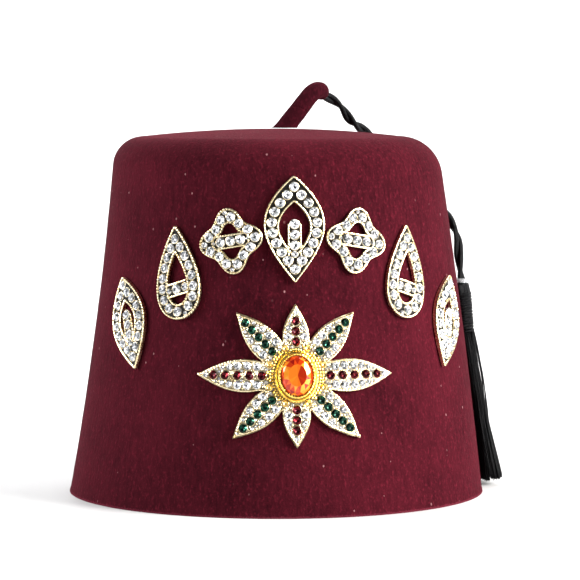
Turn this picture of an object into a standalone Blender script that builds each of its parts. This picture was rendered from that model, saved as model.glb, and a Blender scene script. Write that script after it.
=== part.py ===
"""Fez hat: a hollow felt crown with its stem, corded tassel and rhinestone ornament.

Metres, +Z up. The cut edge of the crown lies on z = 0, the origin is at its centre, and the ornament
faces -Y. The tassel hangs on the +X side. Run with: blender --background --python part.py
"""

import math

import bmesh
import bpy
from mathutils import Matrix, Vector

# Crown: an oval felt cone with a closed top
RIM_HALF_WIDTH = 0.089
RIM_HALF_DEPTH = 0.092
CROWN_HEIGHT = 0.1522
TOP_INSET = 0.0200
WALL_HOLLOW_LEFT = 0.0019
WALL_HOLLOW_RIGHT = -0.0008
FELT = 0.0022
EDGE_RADIUS_LEFT = 0.013
EDGE_RADIUS_RIGHT = 0.018
TOP_BULGE = 0.0032
CROWN_SIDES = 48
WALL_STEPS = 4
EDGE_STEPS = 3
INNER_WALL_STEPS = 2
INNER_EDGE_STEPS = 2
CLEARANCE = 0.0003

# Stem: a rolled felt stalk on the top, bent over towards the tassel
STEM_RADIUS = 0.0041
STEM_TIP_RADIUS = 0.0036
STEM_HEIGHT = 0.0161
STEM_LEAN = 0.0166
STEM_BACK = 0.0078
STEM_BASE_OFFSET = 0.0038

# Ornament channels: a metal strip with one row of stones
CHANNEL_WIDTH = 0.0063
PLATE_THICKNESS = 0.0013
STONE_DIAMETER = 0.0041
STONE_PITCH = 0.0043
PITCH_PLAY = 0.0003
STONE_GAP = 0.0001
STONE_MARGIN = 0.0004
STONE_RISE = 0.0010
STONE_SINK = 0.0004
STONE_SIDES = 8
WALK_STEPS = 16
PITCH_STEPS = 6
TABLE_SHARE = 0.6

# Arc of motifs above the rosette
ARC_EDGE_GAP = 0.0003
ARC_HALF_WIDTH = 0.079
ARC_DROP = 0.040
ARC_TILT_SHARE = 0.5
CENTRE_LEAF_HEIGHT = 0.043
CENTRE_LEAF_WIDTH = 0.025
END_LEAF_HEIGHT = 0.040
END_LEAF_WIDTH = 0.022
POINT_SHARE = 1.7
BAR_MARGIN = 0.0008
LOBES_WIDTH = 0.027
LOBE_DEPTH_SHARE = 0.16
DROP_HEIGHT = 0.038
DROP_WIDTH = 0.0225
DROP_BEND = 0.005

# Rosette with the main stone
ROSETTE_WIDTH = 0.083
ROSETTE_BOTTOM = 0.028
ROSETTE_GAP = 0.0085
PETALS = 8
PETAL_BELLY = 0.0032
PETAL_FULLNESS = 0.9
PETAL_ROWS = 4
NOTCH_RADIUS = 0.0142
NOTCH_STONE = 0.0030
MAIN_STONE_WIDTH = 0.0125
MAIN_STONE_HEIGHT = 0.0160
MAIN_STONE_RISE = 0.0046
MAIN_STONE_SIDES = 12
BEZEL_WIDTH = 0.0015
BEZEL_RISE = 0.0022

# Cord, ring and tassel
CORD_DIAMETER = 0.0042
CORD_SPACING = 2.0
RING_WIRE_RADIUS = 0.0009
TASSEL_ANGLE = 96.0
TASSEL_FLOOR_GAP = 0.0015
TASSEL_LENGTH = 0.0855
TASSEL_WALL_GAP = 0.0005
TASSEL_LOCKS = 13
LOCK_DEPTH = 0.16
LOCK_STAGGER = 0.0030
POINTS_PER_LOCK = 4

# The cord's route in metres, from the stem's tip over the back right edge to the tassel's head
CORD_ROUTE = (
    (0.0208, 0.0091, 0.1696),
    (0.0256, 0.0158, 0.1680),
    (0.0310, 0.0238, 0.1641),
    (0.0373, 0.0337, 0.1573),
    (0.0423, 0.0421, 0.1547),
    (0.0473, 0.0481, 0.1511),
    (0.0512, 0.0511, 0.1452),
    (0.0591, 0.0463, 0.1366),
    (0.0671, 0.0348, 0.1287),
    (0.0730, 0.0224, 0.1219),
    (0.0774, 0.0134, 0.1154),
    (0.0803, 0.0095, 0.1080),
    (0.0808, 0.0085, 0.0998),
    (0.0814, 0.0087, 0.0938),
    (0.0821, 0.0089, 0.0884),
)

# Motifs of the arc: name, shape, place along the arc as a share of its half span
MOTIFS = (
    ("leaf_left", "end_leaf", -1.0),
    ("drop_left", "drop", -0.685),
    ("lobes_left", "lobes", -0.352),
    ("leaf_centre", "centre_leaf", 0.0),
    ("lobes_right", "lobes", 0.352),
    ("drop_right", "drop", 0.685),
    ("leaf_right", "end_leaf", 1.0),
)

# Lines of stones in a petal: across as a share of its half width, start and end from base to tip, diameter
PETAL_LINES = (
    (0.00, 0.03, 0.74, 0.0039),
    (-0.60, 0.10, 0.55, 0.0036),
    (0.60, 0.10, 0.55, 0.0036),
)

# Outer form of the tassel from the top down: height share, half width, depth off the wall, lock relief share
TASSEL_SECTIONS = (
    (1.000, 0.0026, 0.0068, 0.0),
    (0.960, 0.0040, 0.0072, 0.0),
    (0.780, 0.0038, 0.0064, 0.0),
    (0.745, 0.0046, 0.0064, 0.4),
    (0.600, 0.0068, 0.0062, 1.0),
    (0.300, 0.0096, 0.0078, 1.0),
    (0.000, 0.0122, 0.0114, 1.0),
)

# Colours: red, green, blue, roughness, metallic
MATERIALS = {
    "felt": (0.085, 0.010, 0.020, 0.95, 0.0),
    "stem_felt": (0.060, 0.008, 0.014, 0.95, 0.0),
    "black_thread": (0.008, 0.008, 0.009, 0.55, 0.0),
    "clear_ring": (0.70, 0.72, 0.74, 0.15, 0.0),
    "rhinestone_setting": (0.78, 0.66, 0.42, 0.30, 0.9),
    "amber_stone": (0.85, 0.30, 0.03, 0.08, 0.0),
}

collection = None


def clear_scene():
    for thing in list(bpy.data.objects):
        bpy.data.objects.remove(thing, do_unlink=True)


def make_collection(name):
    made = bpy.data.collections.new(name)
    bpy.context.scene.collection.children.link(made)
    return made


def material(name):
    """The Principled material of this name, made once."""
    found = bpy.data.materials.get(name)
    if found:
        return found
    red, green, blue, roughness, metallic = MATERIALS[name]
    made = bpy.data.materials.new(name)
    made.use_nodes = True
    shader = made.node_tree.nodes["Principled BSDF"]
    shader.inputs["Base Color"].default_value = (red, green, blue, 1.0)
    shader.inputs["Roughness"].default_value = roughness
    shader.inputs["Metallic"].default_value = metallic
    made.diffuse_color = (red, green, blue, 1.0)
    return made


def add_object(name, data, material_name=None):
    """A new object in the hat's collection, with its material."""
    made = bpy.data.objects.new(name, data)
    collection.objects.link(made)
    if material_name:
        data.materials.append(material(material_name))
    return made


def mesh_object(name, shape, material_name=None):
    """An object made from a bmesh, its faces turned outwards."""
    bmesh.ops.recalc_face_normals(shape, faces=shape.faces)
    data = bpy.data.meshes.new(name)
    shape.to_mesh(data)
    shape.free()
    return add_object(name, data, material_name)


def fused(base, other):
    """The base object with the other joined to it as one body; the other is removed."""
    union = base.modifiers.new("union", "BOOLEAN")
    union.operation = "UNION"
    union.solver = "EXACT"
    union.object = other
    bpy.context.view_layer.update()
    evaluated = base.evaluated_get(bpy.context.evaluated_depsgraph_get())
    data = bpy.data.meshes.new_from_object(evaluated)
    base.modifiers.clear()
    old = base.data
    base.data = data
    bpy.data.meshes.remove(old)
    bpy.data.objects.remove(other, do_unlink=True)
    return base


# Shape of the wall

def wall_hollow(angle):
    """How far the wall curves in half way up; on the tassel's side it curves out a little."""
    middle = (WALL_HOLLOW_LEFT + WALL_HOLLOW_RIGHT) / 2.0
    return middle + (WALL_HOLLOW_RIGHT - WALL_HOLLOW_LEFT) / 2.0 * math.sin(angle)


def wall_inset(height, angle):
    """How far the outer wall stands inside the rim's outline at this height."""
    share = height / CROWN_HEIGHT
    return TOP_INSET * share + wall_hollow(angle) * 4.0 * share * (1.0 - share)


def wall_lean(height, angle):
    """The wall's lean from upright at this height, in radians."""
    share = height / CROWN_HEIGHT
    slope = (TOP_INSET + wall_hollow(angle) * 4.0 * (1.0 - 2.0 * share)) / CROWN_HEIGHT
    return math.atan(slope)


def on_wall(angle, height, lift):
    """A point off the outer wall: angle in radians from the front towards +X, height, distance off the felt."""
    inset = wall_inset(height, angle)
    half_width = RIM_HALF_WIDTH - inset
    half_depth = RIM_HALF_DEPTH - inset
    point = Vector((half_width * math.sin(angle), -half_depth * math.cos(angle), height))
    outward = Vector((math.sin(angle) / half_width, -math.cos(angle) / half_depth, 0.0)).normalized()
    lean = wall_lean(height, angle)
    normal = outward * math.cos(lean) + Vector((0.0, 0.0, math.sin(lean)))
    return point + normal * lift


def edge_radius(angle):
    """The top edge's rounding, larger on the tassel's side."""
    middle = (EDGE_RADIUS_LEFT + EDGE_RADIUS_RIGHT) / 2.0
    return middle + (EDGE_RADIUS_RIGHT - EDGE_RADIUS_LEFT) / 2.0 * math.sin(angle)


def edge_start(angle):
    """The height at which the wall meets the rounded top edge."""
    radius = edge_radius(angle)
    return CROWN_HEIGHT - radius + radius * math.sin(wall_lean(CROWN_HEIGHT, angle))


def wrapped(piece, angle, height):
    """Bends a flat piece onto the wall: its x runs along the wall, its y up, its z off the felt."""
    radius = (RIM_HALF_WIDTH + RIM_HALF_DEPTH) / 2.0 - wall_inset(height, angle)
    shape = bmesh.new()
    shape.from_mesh(piece.data)
    bmesh.ops.triangulate(shape, faces=shape.faces)
    for vertex in shape.verts:
        along, up, lift = vertex.co
        vertex.co = on_wall(angle + along / radius, height + up, lift)
    shape.to_mesh(piece.data)
    shape.free()
    return piece


# Crown

def crown_ring(shape, felt_inside, place):
    """One oval ring of the crown; place(angle, rim) gives inset from the outline and height."""
    ring = []
    for index in range(CROWN_SIDES):
        angle = 2.0 * math.pi * index / CROWN_SIDES
        inset, height, share = place(angle, felt_inside)
        x = (RIM_HALF_WIDTH - inset) * share * math.sin(angle)
        y = -(RIM_HALF_DEPTH - inset) * share * math.cos(angle)
        ring.append(shape.verts.new((x, y, height)))
    return ring


def wall_place(share):
    """The ring of the upright wall this share of the way up from the rim."""
    def place(angle, inside):
        height = edge_start(angle) * share
        return wall_inset(height, angle) + inside, height, 1.0
    return place


def edge_place(share):
    """The ring of the rounded top edge this share of the way round from the wall."""
    def place(angle, inside):
        radius = edge_radius(angle)
        lean = wall_lean(CROWN_HEIGHT, angle)
        turn = lean + (math.pi / 2.0 - lean) * share
        centre_inset = wall_inset(edge_start(angle), angle) + radius * math.cos(lean)
        reach = radius - inside
        inset = centre_inset - reach * math.cos(turn)
        return inset, CROWN_HEIGHT - radius + reach * math.sin(turn), 1.0
    return place


def top_place(share):
    """A ring of the slightly bulged top, this share of the way from its middle to the rounded edge."""
    def place(angle, inside):
        radius = edge_radius(angle)
        inset = wall_inset(edge_start(angle), angle) + radius * math.cos(wall_lean(CROWN_HEIGHT, angle))
        return inset, top_height(share) - inside, share
    return place


def top_height(share):
    return CROWN_HEIGHT + TOP_BULGE * (1.0 - share ** 2)


def bridge(shape, first, second):
    """Quads between two rings of as many points."""
    count = len(first)
    for index in range(count):
        after = (index + 1) % count
        shape.faces.new((first[index], first[after], second[after], second[index]))


def cap(shape, ring, point):
    """A fan from a ring to one point."""
    middle = shape.verts.new(point)
    for index in range(len(ring)):
        shape.faces.new((ring[index], ring[(index + 1) % len(ring)], middle))


def make_crown():
    shape = bmesh.new()
    rims = []
    sides = ((0.0, WALL_STEPS, EDGE_STEPS), (FELT, INNER_WALL_STEPS, INNER_EDGE_STEPS))
    for inside, wall_steps, edge_steps in sides:
        places = [wall_place(step / wall_steps) for step in range(wall_steps + 1)]
        places += [edge_place(step / edge_steps) for step in range(1, edge_steps + 1)]
        if not inside:
            places.append(top_place(0.5))
        rings = [crown_ring(shape, inside, place) for place in places]
        for lower, upper in zip(rings, rings[1:]):
            bridge(shape, lower, upper)
        cap(shape, rings[-1], (0.0, 0.0, top_height(0.0) - inside))
        rims.append(rings[0])
    bridge(shape, rims[0], rims[1])
    crown = mesh_object("crown", shape, "felt")
    crown.data.shade_smooth()
    return crown


# Curves

def tube(name, points, radii, material_name, resolution):
    """A round tube with closed ends along points, with the radius at each."""
    curve = bpy.data.curves.new(name, "CURVE")
    curve.dimensions = "3D"
    curve.bevel_depth = 1.0
    curve.bevel_resolution = resolution
    curve.use_fill_caps = True
    spline = curve.splines.new("POLY")
    spline.points.add(len(points) - 1)
    for target, point, radius in zip(spline.points, points, radii):
        target.co = (point[0], point[1], point[2], 1.0)
        target.radius = radius
    return add_object(name, curve, material_name)


def smooth_path(route, spacing):
    """Points about this far apart on a smooth curve through the route's points."""
    ends = [route[0]] + list(route) + [route[-1]]
    knots = [Vector(point) for point in ends]
    fine = []
    steps = 24
    for before, start, end, after in zip(knots, knots[1:], knots[2:], knots[3:]):
        for step in range(steps):
            t = step / steps
            bend = 2.0 * start + (end - before) * t
            bend += (2.0 * before - 5.0 * start + 4.0 * end - after) * t ** 2
            bend += (3.0 * start - before - 3.0 * end + after) * t ** 3
            fine.append(bend / 2.0)
    fine.append(knots[-1])
    lengths = [0.0]
    for first, second in zip(fine, fine[1:]):
        lengths.append(lengths[-1] + (second - first).length)
    count = max(2, round(lengths[-1] / spacing))
    path = []
    place = 0
    for index in range(count + 1):
        target = lengths[-1] * index / count
        while place < len(fine) - 2 and lengths[place + 1] < target:
            place += 1
        share = (target - lengths[place]) / (lengths[place + 1] - lengths[place])
        path.append(fine[place].lerp(fine[place + 1], min(1.0, share)))
    return path


def make_stem():
    """Stands on the top and leans over to the tassel's side; its first stretch is upright."""
    foot = CROWN_HEIGHT + TOP_BULGE + CLEARANCE
    # Rows of the stem: shares of its lean, of its reach backwards and of its height
    rows = (
        (0.00, 0.00, 0.00),
        (0.00, 0.00, 0.10),
        (0.37, 0.03, 0.48),
        (0.65, 0.13, 0.85),
        (0.80, 0.28, 0.97),
        (0.91, 0.50, 1.00),
        (0.97, 0.74, 0.97),
        (1.00, 1.00, 0.90),
    )
    route = []
    for lean, back, rise in rows:
        route.append((STEM_BASE_OFFSET + lean * STEM_LEAN, back * STEM_BACK, foot + rise * STEM_HEIGHT))
    points = [Vector(route[0])] + smooth_path(route[1:], STEM_RADIUS * 0.7)
    radii = []
    for index in range(len(points)):
        share = index / (len(points) - 1)
        radii.append(STEM_RADIUS + (STEM_TIP_RADIUS - STEM_RADIUS) * share)
    return tube("stem", points, radii, "stem_felt", 2)


def make_cord():
    path = smooth_path(CORD_ROUTE, CORD_SPACING * CORD_DIAMETER)
    radii = [CORD_DIAMETER / 2.0] * len(path)
    return tube("tassel_cord", path, radii, "black_thread", 2)


# Ornament

def band(name, outer, inner, bottom, top):
    """A flat closed strip between two outlines of as many points."""
    shape = bmesh.new()
    sections = []
    for far, near in zip(outer, inner):
        corners = ((far, bottom), (near, bottom), (near, top), (far, top))
        sections.append([shape.verts.new((spot.x, spot.y, level)) for spot, level in corners])
    for first, second in zip(sections, sections[1:] + sections[:1]):
        bridge(shape, first, second)
    return mesh_object(name, shape)


def bar(name, points, width, bottom, top):
    """A flat straight strip of this width through a row of points."""
    shape = bmesh.new()
    along = (points[-1] - points[0]).normalized()
    side = Vector((-along.y, along.x)) * width / 2.0
    sections = []
    for point in points:
        one = point + side
        other = point - side
        corners = ((one, bottom), (other, bottom), (other, top), (one, top))
        sections.append([shape.verts.new((spot.x, spot.y, level)) for spot, level in corners])
    for first, second in zip(sections, sections[1:]):
        bridge(shape, first, second)
    shape.faces.new(sections[0])
    shape.faces.new(sections[-1])
    return mesh_object(name, shape)


def walked(points, pitch):
    """Places both ways round a flat closed path from its first point, a pitch or more from each other."""
    spots = []
    for first, second in zip(points, points[1:] + points[:1]):
        spots += [first.lerp(second, step / WALK_STEPS) for step in range(WALK_STEPS)]
    places = []
    for index in range(len(spots)):
        turn = (index + 1) // 2
        spot = spots[turn if index % 2 else -turn]
        if all((spot - taken).length >= pitch for taken in places):
            places.append(spot)
    return places


def packed(points):
    """The fullest row of stones round a closed path, as evenly spread as it allows."""
    best = []
    for step in range(PITCH_STEPS + 1):
        pitch = STONE_PITCH + PITCH_PLAY * (2.0 * step / PITCH_STEPS - 1.0)
        places = walked(points, max(pitch, STONE_DIAMETER + STONE_GAP))
        if len(places) >= len(best):
            best = places
    return best


def add_seat(seats, place, diameter):
    """Keeps a stone's place if it stands clear of those already there."""
    for taken, size in seats:
        if (place - taken).length < (diameter + size) / 2.0 + STONE_GAP:
            return
    seats.append((place, diameter))


def add_stone(shape, centre, diameter, plate_top):
    """A cut stone: a ring of facets up to a flat table, its foot sunk in the plate."""
    depth = STONE_RISE + STONE_SINK
    middle = plate_top + (STONE_RISE - STONE_SINK) / 2.0
    bmesh.ops.create_cone(
        shape,
        cap_ends=True,
        cap_tris=False,
        segments=STONE_SIDES,
        radius1=diameter / 2.0,
        radius2=diameter / 2.0 * TABLE_SHARE,
        depth=depth,
        matrix=Matrix.Translation((centre.x, centre.y, middle)),
    )


def stones(name, places, plate_top):
    """One mesh of separate stones; places holds a centre and a diameter for each."""
    shape = bmesh.new()
    for centre, diameter in places:
        add_stone(shape, centre, diameter, plate_top)
    return mesh_object(name, shape)


def leaf_outline(height, width, steps):
    """A pointed oval standing on its tip, broader above the middle."""
    half = []
    for index in range(steps + 1):
        share = index / steps
        across = width / 2.0 * math.sin(math.pi * share ** 1.15) ** 0.85
        half.append(Vector((across, height * (share - 0.5))))
    other = [Vector((-point.x, point.y)) for point in reversed(half[1:-1])]
    return half + other


def lobed_outline(width, steps):
    """A ring of four round lobes."""
    mean = width / 2.0 / (1.0 + LOBE_DEPTH_SHARE)
    points = []
    for index in range(steps):
        angle = 2.0 * math.pi * index / steps
        reach = mean * (1.0 + LOBE_DEPTH_SHARE * math.cos(4.0 * angle))
        points.append(Vector((reach * math.cos(angle), reach * math.sin(angle))))
    return points


def drop_outline(height, width, middle, steps):
    """A drop with its point up."""
    points = []
    for index in range(steps):
        turn = 2.0 * math.pi * index / steps
        across = width * 0.60 * math.sin(turn) * math.sin(turn / 2.0) ** 0.9
        points.append(Vector((across, middle + height / 2.0 * math.cos(turn))))
    return points


def bent(points, height, bend):
    """The outline with its upper end moved sideways."""
    return [Vector((spot.x + bend * (spot.y / height + 0.5) ** 2, spot.y)) for spot in points]


def motif_outlines(kind, side):
    """The outer and inner edge of a motif's channel, its middle at 0, 0."""
    if kind == "lobes":
        return lobed_outline(LOBES_WIDTH, 20), lobed_outline(LOBES_WIDTH - 2.0 * CHANNEL_WIDTH, 20)
    if kind == "drop":
        bottom_reach = CHANNEL_WIDTH
        tip_reach = POINT_SHARE * CHANNEL_WIDTH
        hole_height = DROP_HEIGHT - bottom_reach - tip_reach
        hole_width = DROP_WIDTH - 2.0 * CHANNEL_WIDTH
        outer = drop_outline(DROP_HEIGHT, DROP_WIDTH, 0.0, 20)
        inner = drop_outline(hole_height, hole_width, (bottom_reach - tip_reach) / 2.0, 20)
        bend = -side * DROP_BEND
        return bent(outer, DROP_HEIGHT, bend), bent(inner, DROP_HEIGHT, bend)
    height, width = leaf_size(kind)
    hole_height = height - 2.0 * POINT_SHARE * CHANNEL_WIDTH
    outer = leaf_outline(height, width, 10)
    inner = leaf_outline(hole_height, width - 2.0 * CHANNEL_WIDTH, 10)
    return outer, inner


def leaf_size(kind):
    if kind == "centre_leaf":
        return CENTRE_LEAF_HEIGHT, CENTRE_LEAF_WIDTH
    return END_LEAF_HEIGHT, END_LEAF_WIDTH


def motif_bar(kind):
    """The row of points of the bar inside a motif, and the seats of its stones."""
    if kind == "lobes":
        reach = LOBES_WIDTH / 2.0 - CHANNEL_WIDTH / 2.0
        row = [Vector((reach * share, 0.0)) for share in (-1.0, -0.5, 0.0, 0.5, 1.0)]
        return row, [row[2]]
    if kind == "drop":
        reach = DROP_WIDTH / 2.0 - CHANNEL_WIDTH / 2.0
        low = -0.17 * DROP_HEIGHT
        row = [Vector((reach * share, low)) for share in (-1.0, -0.5, 0.0, 0.5, 1.0)]
        return row, [row[2]]
    height = leaf_size(kind)[0]
    foot = CHANNEL_WIDTH - height / 2.0
    row = [Vector((0.0, foot + STONE_PITCH * step)) for step in range(5)]
    return row, row[1:]


def make_motif(name, kind, place):
    """A channel setting with its stones, bent onto the wall."""
    bottom = CLEARANCE
    top = CLEARANCE + PLATE_THICKNESS
    outer, inner = motif_outlines(kind, 1.0 if place > 0.0 else -1.0)
    setting = band(name, outer, inner, bottom, top)
    row, bar_seats = motif_bar(kind)
    setting = fused(setting, bar("bar", row, STONE_DIAMETER + BAR_MARGIN, bottom, top))
    middle_line = [(far + near) / 2.0 for far, near in zip(outer, inner)]
    sized = []
    for seat in packed(middle_line) + bar_seats:
        add_seat(sized, seat, STONE_DIAMETER)
    setting = fused(setting, stones(name + "_stones", sized, top))
    setting.data.transform(Matrix.Rotation(arc_tilt(place), 4, "Z"))
    setting.data.materials.append(material("rhinestone_setting"))
    return wrapped(setting, place * ARC_HALF_WIDTH / ornament_radius(), arc_height(place))


def ornament_radius():
    """The front wall's mean radius half way up, which turns lengths along the arc into angles."""
    return (RIM_HALF_WIDTH + RIM_HALF_DEPTH) / 2.0 - wall_inset(CROWN_HEIGHT / 2.0, 0.0)


def arc_middle_height():
    return edge_start(math.pi / 2.0) + ARC_EDGE_GAP - CENTRE_LEAF_HEIGHT / 2.0


def arc_height(place):
    return arc_middle_height() - ARC_DROP * place ** 2


def arc_tilt(place):
    slope = -2.0 * ARC_DROP * place / ARC_HALF_WIDTH
    return ARC_TILT_SHARE * math.atan(slope)


def rosette_heights():
    """The rosette's middle and half height, between the arc and the margin above the rim."""
    top = arc_middle_height() - CENTRE_LEAF_HEIGHT / 2.0 - ROSETTE_GAP
    return (top + ROSETTE_BOTTOM) / 2.0, (top - ROSETTE_BOTTOM) / 2.0


def petal_frame(index):
    """A petal's direction, and where its base and its tip lie along it."""
    angle = 2.0 * math.pi * index / PETALS
    half_height = rosette_heights()[1]
    direction = Vector((math.cos(angle), math.sin(angle)))
    tip = math.hypot(ROSETTE_WIDTH / 2.0 * direction.x, half_height * direction.y)
    return direction, NOTCH_RADIUS * math.cos(math.pi / PETALS), tip


def petal_half_width(index, share):
    """Half a petal's width this share of the way from its base to its tip; a short petal has less belly."""
    _, base, tip = petal_frame(index)
    belly = PETAL_BELLY * (tip - base) / (ROSETTE_WIDTH / 2.0 - base)
    foot = NOTCH_RADIUS * math.sin(math.pi / PETALS)
    return foot * (1.0 - share) + belly * math.sin(math.pi * share ** PETAL_FULLNESS)


def petal_place(index, share, across):
    """A flat point of a petal: share of the way to its tip, share of its half width across."""
    direction, base, tip = petal_frame(index)
    side = Vector((-direction.y, direction.x))
    return direction * (base + (tip - base) * share) + side * petal_half_width(index, share) * across


def rosette_level(shape, level):
    """The rosette's outline at one level: its middle, and rows of three points up each petal to the tip."""
    middle = shape.verts.new((0.0, 0.0, level))
    notches = []
    for index in range(PETALS):
        spot = petal_place(index, 0.0, 1.0)
        notches.append(shape.verts.new((spot.x, spot.y, level)))
    petals = []
    for index in range(PETALS):
        spot = petal_place(index, 0.0, 0.0)
        rows = [(notches[index - 1], shape.verts.new((spot.x, spot.y, level)), notches[index])]
        for row in range(1, PETAL_ROWS):
            spots = [petal_place(index, row / PETAL_ROWS, across) for across in (-1.0, 0.0, 1.0)]
            rows.append([shape.verts.new((spot.x, spot.y, level)) for spot in spots])
        tip = petal_place(index, 1.0, 0.0)
        petals.append((rows, shape.verts.new((tip.x, tip.y, level))))
    return middle, petals


def rosette_plate(bottom, top):
    """The flat plate of all petals round their hub."""
    shape = bmesh.new()
    low = rosette_level(shape, bottom)
    high = rosette_level(shape, top)
    for middle, petals in (low, high):
        for rows, tip in petals:
            for part in range(2):
                shape.faces.new((middle, rows[0][part], rows[0][part + 1]))
                shape.faces.new((rows[-1][part], rows[-1][part + 1], tip))
                for first, second in zip(rows, rows[1:]):
                    shape.faces.new((first[part], first[part + 1], second[part + 1], second[part]))
    for (low_rows, low_tip), (high_rows, high_tip) in zip(low[1], high[1]):
        for part in (0, 2):
            under = [row[part] for row in low_rows] + [low_tip]
            over = [row[part] for row in high_rows] + [high_tip]
            for step in range(PETAL_ROWS):
                shape.faces.new((under[step], under[step + 1], over[step + 1], over[step]))
    return mesh_object("rosette", shape)


def oval(half_width, half_height, sides):
    points = []
    for index in range(sides):
        angle = 2.0 * math.pi * index / sides
        points.append(Vector((half_width * math.cos(angle), half_height * math.sin(angle))))
    return points


def make_rosette():
    """Eight petals of stones round a hub with the main stone's bezel, all one piece."""
    bottom = CLEARANCE
    top = CLEARANCE + PLATE_THICKNESS
    setting = rosette_plate(bottom, top)
    seats = []
    notches = [petal_place(index, 0.0, 1.0) for index in range(PETALS)]
    for index in range(PETALS):
        for across, start, end, diameter in PETAL_LINES:
            for step in range(WALK_STEPS + 1):
                along = start + (end - start) * step / WALK_STEPS
                spot = petal_place(index, along, across)
                room = petal_half_width(index, along) * (1.0 - abs(across))
                room = min([room] + [(spot - notch).length for notch in notches])
                if room >= diameter / 2.0 + STONE_MARGIN:
                    add_seat(seats, spot, diameter)
        turn = 2.0 * math.pi * (index + 0.5) / PETALS
        between = Vector((math.cos(turn), math.sin(turn)))
        add_seat(seats, between * (NOTCH_RADIUS - NOTCH_STONE / 2.0 - BAR_MARGIN), NOTCH_STONE)
    seat_half_width = MAIN_STONE_WIDTH / 2.0 + CLEARANCE
    seat_half_height = MAIN_STONE_HEIGHT / 2.0 + CLEARANCE
    outer = oval(seat_half_width + BEZEL_WIDTH, seat_half_height + BEZEL_WIDTH, MAIN_STONE_SIDES)
    inner = oval(seat_half_width, seat_half_height, MAIN_STONE_SIDES)
    setting = fused(setting, band("bezel", outer, inner, top - STONE_SINK, top + BEZEL_RISE))
    setting = fused(setting, stones("rosette_stones", seats, top))
    setting.data.materials.append(material("rhinestone_setting"))
    return wrapped(setting, 0.0, rosette_heights()[0])


def make_main_stone():
    """The oval main stone: girdle, two rows of facets and a table."""
    shape = bmesh.new()
    foot = CLEARANCE + PLATE_THICKNESS + CLEARANCE
    # Rows of the stone: share of its outline, share of its rise
    rows = ((1.0, 0.0), (1.0, 0.5), (0.82, 0.82), (0.52, 1.0))
    rings = []
    for spread, rise in rows:
        outline = oval(MAIN_STONE_WIDTH / 2.0 * spread, MAIN_STONE_HEIGHT / 2.0 * spread, MAIN_STONE_SIDES)
        level = foot + MAIN_STONE_RISE * rise
        rings.append([shape.verts.new((spot.x, spot.y, level)) for spot in outline])
    for lower, upper in zip(rings, rings[1:]):
        bridge(shape, lower, upper)
    cap(shape, rings[0], (0.0, 0.0, foot))
    cap(shape, rings[-1], (0.0, 0.0, foot + MAIN_STONE_RISE))
    stone = mesh_object("centre_stone", shape, "amber_stone")
    return wrapped(stone, 0.0, rosette_heights()[0])


# Ring and tassel

def make_ring():
    """A small ring round the cord above the tassel's head."""
    hole = CORD_DIAMETER / 2.0 + CLEARANCE
    end = Vector(CORD_ROUTE[-1])
    bpy.ops.mesh.primitive_torus_add(
        major_segments=12,
        minor_segments=5,
        major_radius=hole + RING_WIRE_RADIUS,
        minor_radius=RING_WIRE_RADIUS,
        location=(end.x, end.y, tassel_crest() + CLEARANCE + RING_WIRE_RADIUS),
    )
    ring = bpy.context.active_object
    ring.name = "tassel_ring"
    for holder in list(ring.users_collection):
        holder.objects.unlink(ring)
    collection.objects.link(ring)
    ring.data.materials.append(material("clear_ring"))
    ring.data.shade_smooth()
    return ring


def tassel_top():
    return TASSEL_FLOOR_GAP + TASSEL_LENGTH


def tassel_crest():
    """The highest point of the tassel's head, which leans with the wall."""
    depth = TASSEL_SECTIONS[0][2]
    return on_wall(math.radians(TASSEL_ANGLE), tassel_top(), TASSEL_WALL_GAP + depth).z


def tassel_ring_points(height, half_width, depth, relief, staggered):
    """Points round the tassel at one height; each lock is a lobe, and its free end has its own length."""
    middle = math.radians(TASSEL_ANGLE)
    radius = (RIM_HALF_WIDTH + RIM_HALF_DEPTH) / 2.0 - wall_inset(height, middle)
    points = []
    count = TASSEL_LOCKS * POINTS_PER_LOCK
    for index in range(count):
        lock, step = divmod(index, POINTS_PER_LOCK)
        valley = 1.0 if step == 0 else 0.0
        turn = 2.0 * math.pi * index / count
        spread = 1.0 - LOCK_DEPTH * relief * valley
        along = half_width * spread * math.cos(turn)
        lift = TASSEL_WALL_GAP + depth / 2.0 * (1.0 + spread * math.sin(turn))
        rise = 0.0
        if staggered:
            rise = LOCK_STAGGER * (0.5 + 0.5 * math.sin(2.4 * lock)) + LOCK_STAGGER * valley
        points.append(on_wall(middle + along / radius, height + rise, lift))
    return points


def make_tassel():
    """Head, wrapped neck and skirt of locks as one body against the wall."""
    shape = bmesh.new()
    rings = []
    for share, half_width, depth, relief in TASSEL_SECTIONS:
        height = TASSEL_FLOOR_GAP + TASSEL_LENGTH * share
        points = tassel_ring_points(height, half_width, depth, relief, share == 0.0)
        rings.append([shape.verts.new(point) for point in points])
    for upper, lower in zip(rings, rings[1:]):
        bridge(shape, upper, lower)
    middle = math.radians(TASSEL_ANGLE)
    first = TASSEL_SECTIONS[0]
    last = TASSEL_SECTIONS[-1]
    cap(shape, rings[0], on_wall(middle, tassel_top(), TASSEL_WALL_GAP + first[2] / 2.0))
    hollow = TASSEL_FLOOR_GAP + 2.0 * LOCK_STAGGER
    cap(shape, rings[-1], on_wall(middle, hollow, TASSEL_WALL_GAP + last[2] / 2.0))
    return mesh_object("tassel", shape, "black_thread")


def main():
    global collection
    clear_scene()
    collection = make_collection("fez_hat")
    make_crown()
    make_stem()
    make_cord()
    make_ring()
    make_tassel()
    for name, kind, place in MOTIFS:
        make_motif(name, kind, place)
    make_rosette()
    make_main_stone()


main()
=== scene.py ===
"""Fez hat: the finish of every surface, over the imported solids.

Metres, +Z up, the ornament faces -Y and the tassel hangs on the +X side.
"""

import math
import random

import bpy
from mathutils import Matrix, Vector, noise


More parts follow.
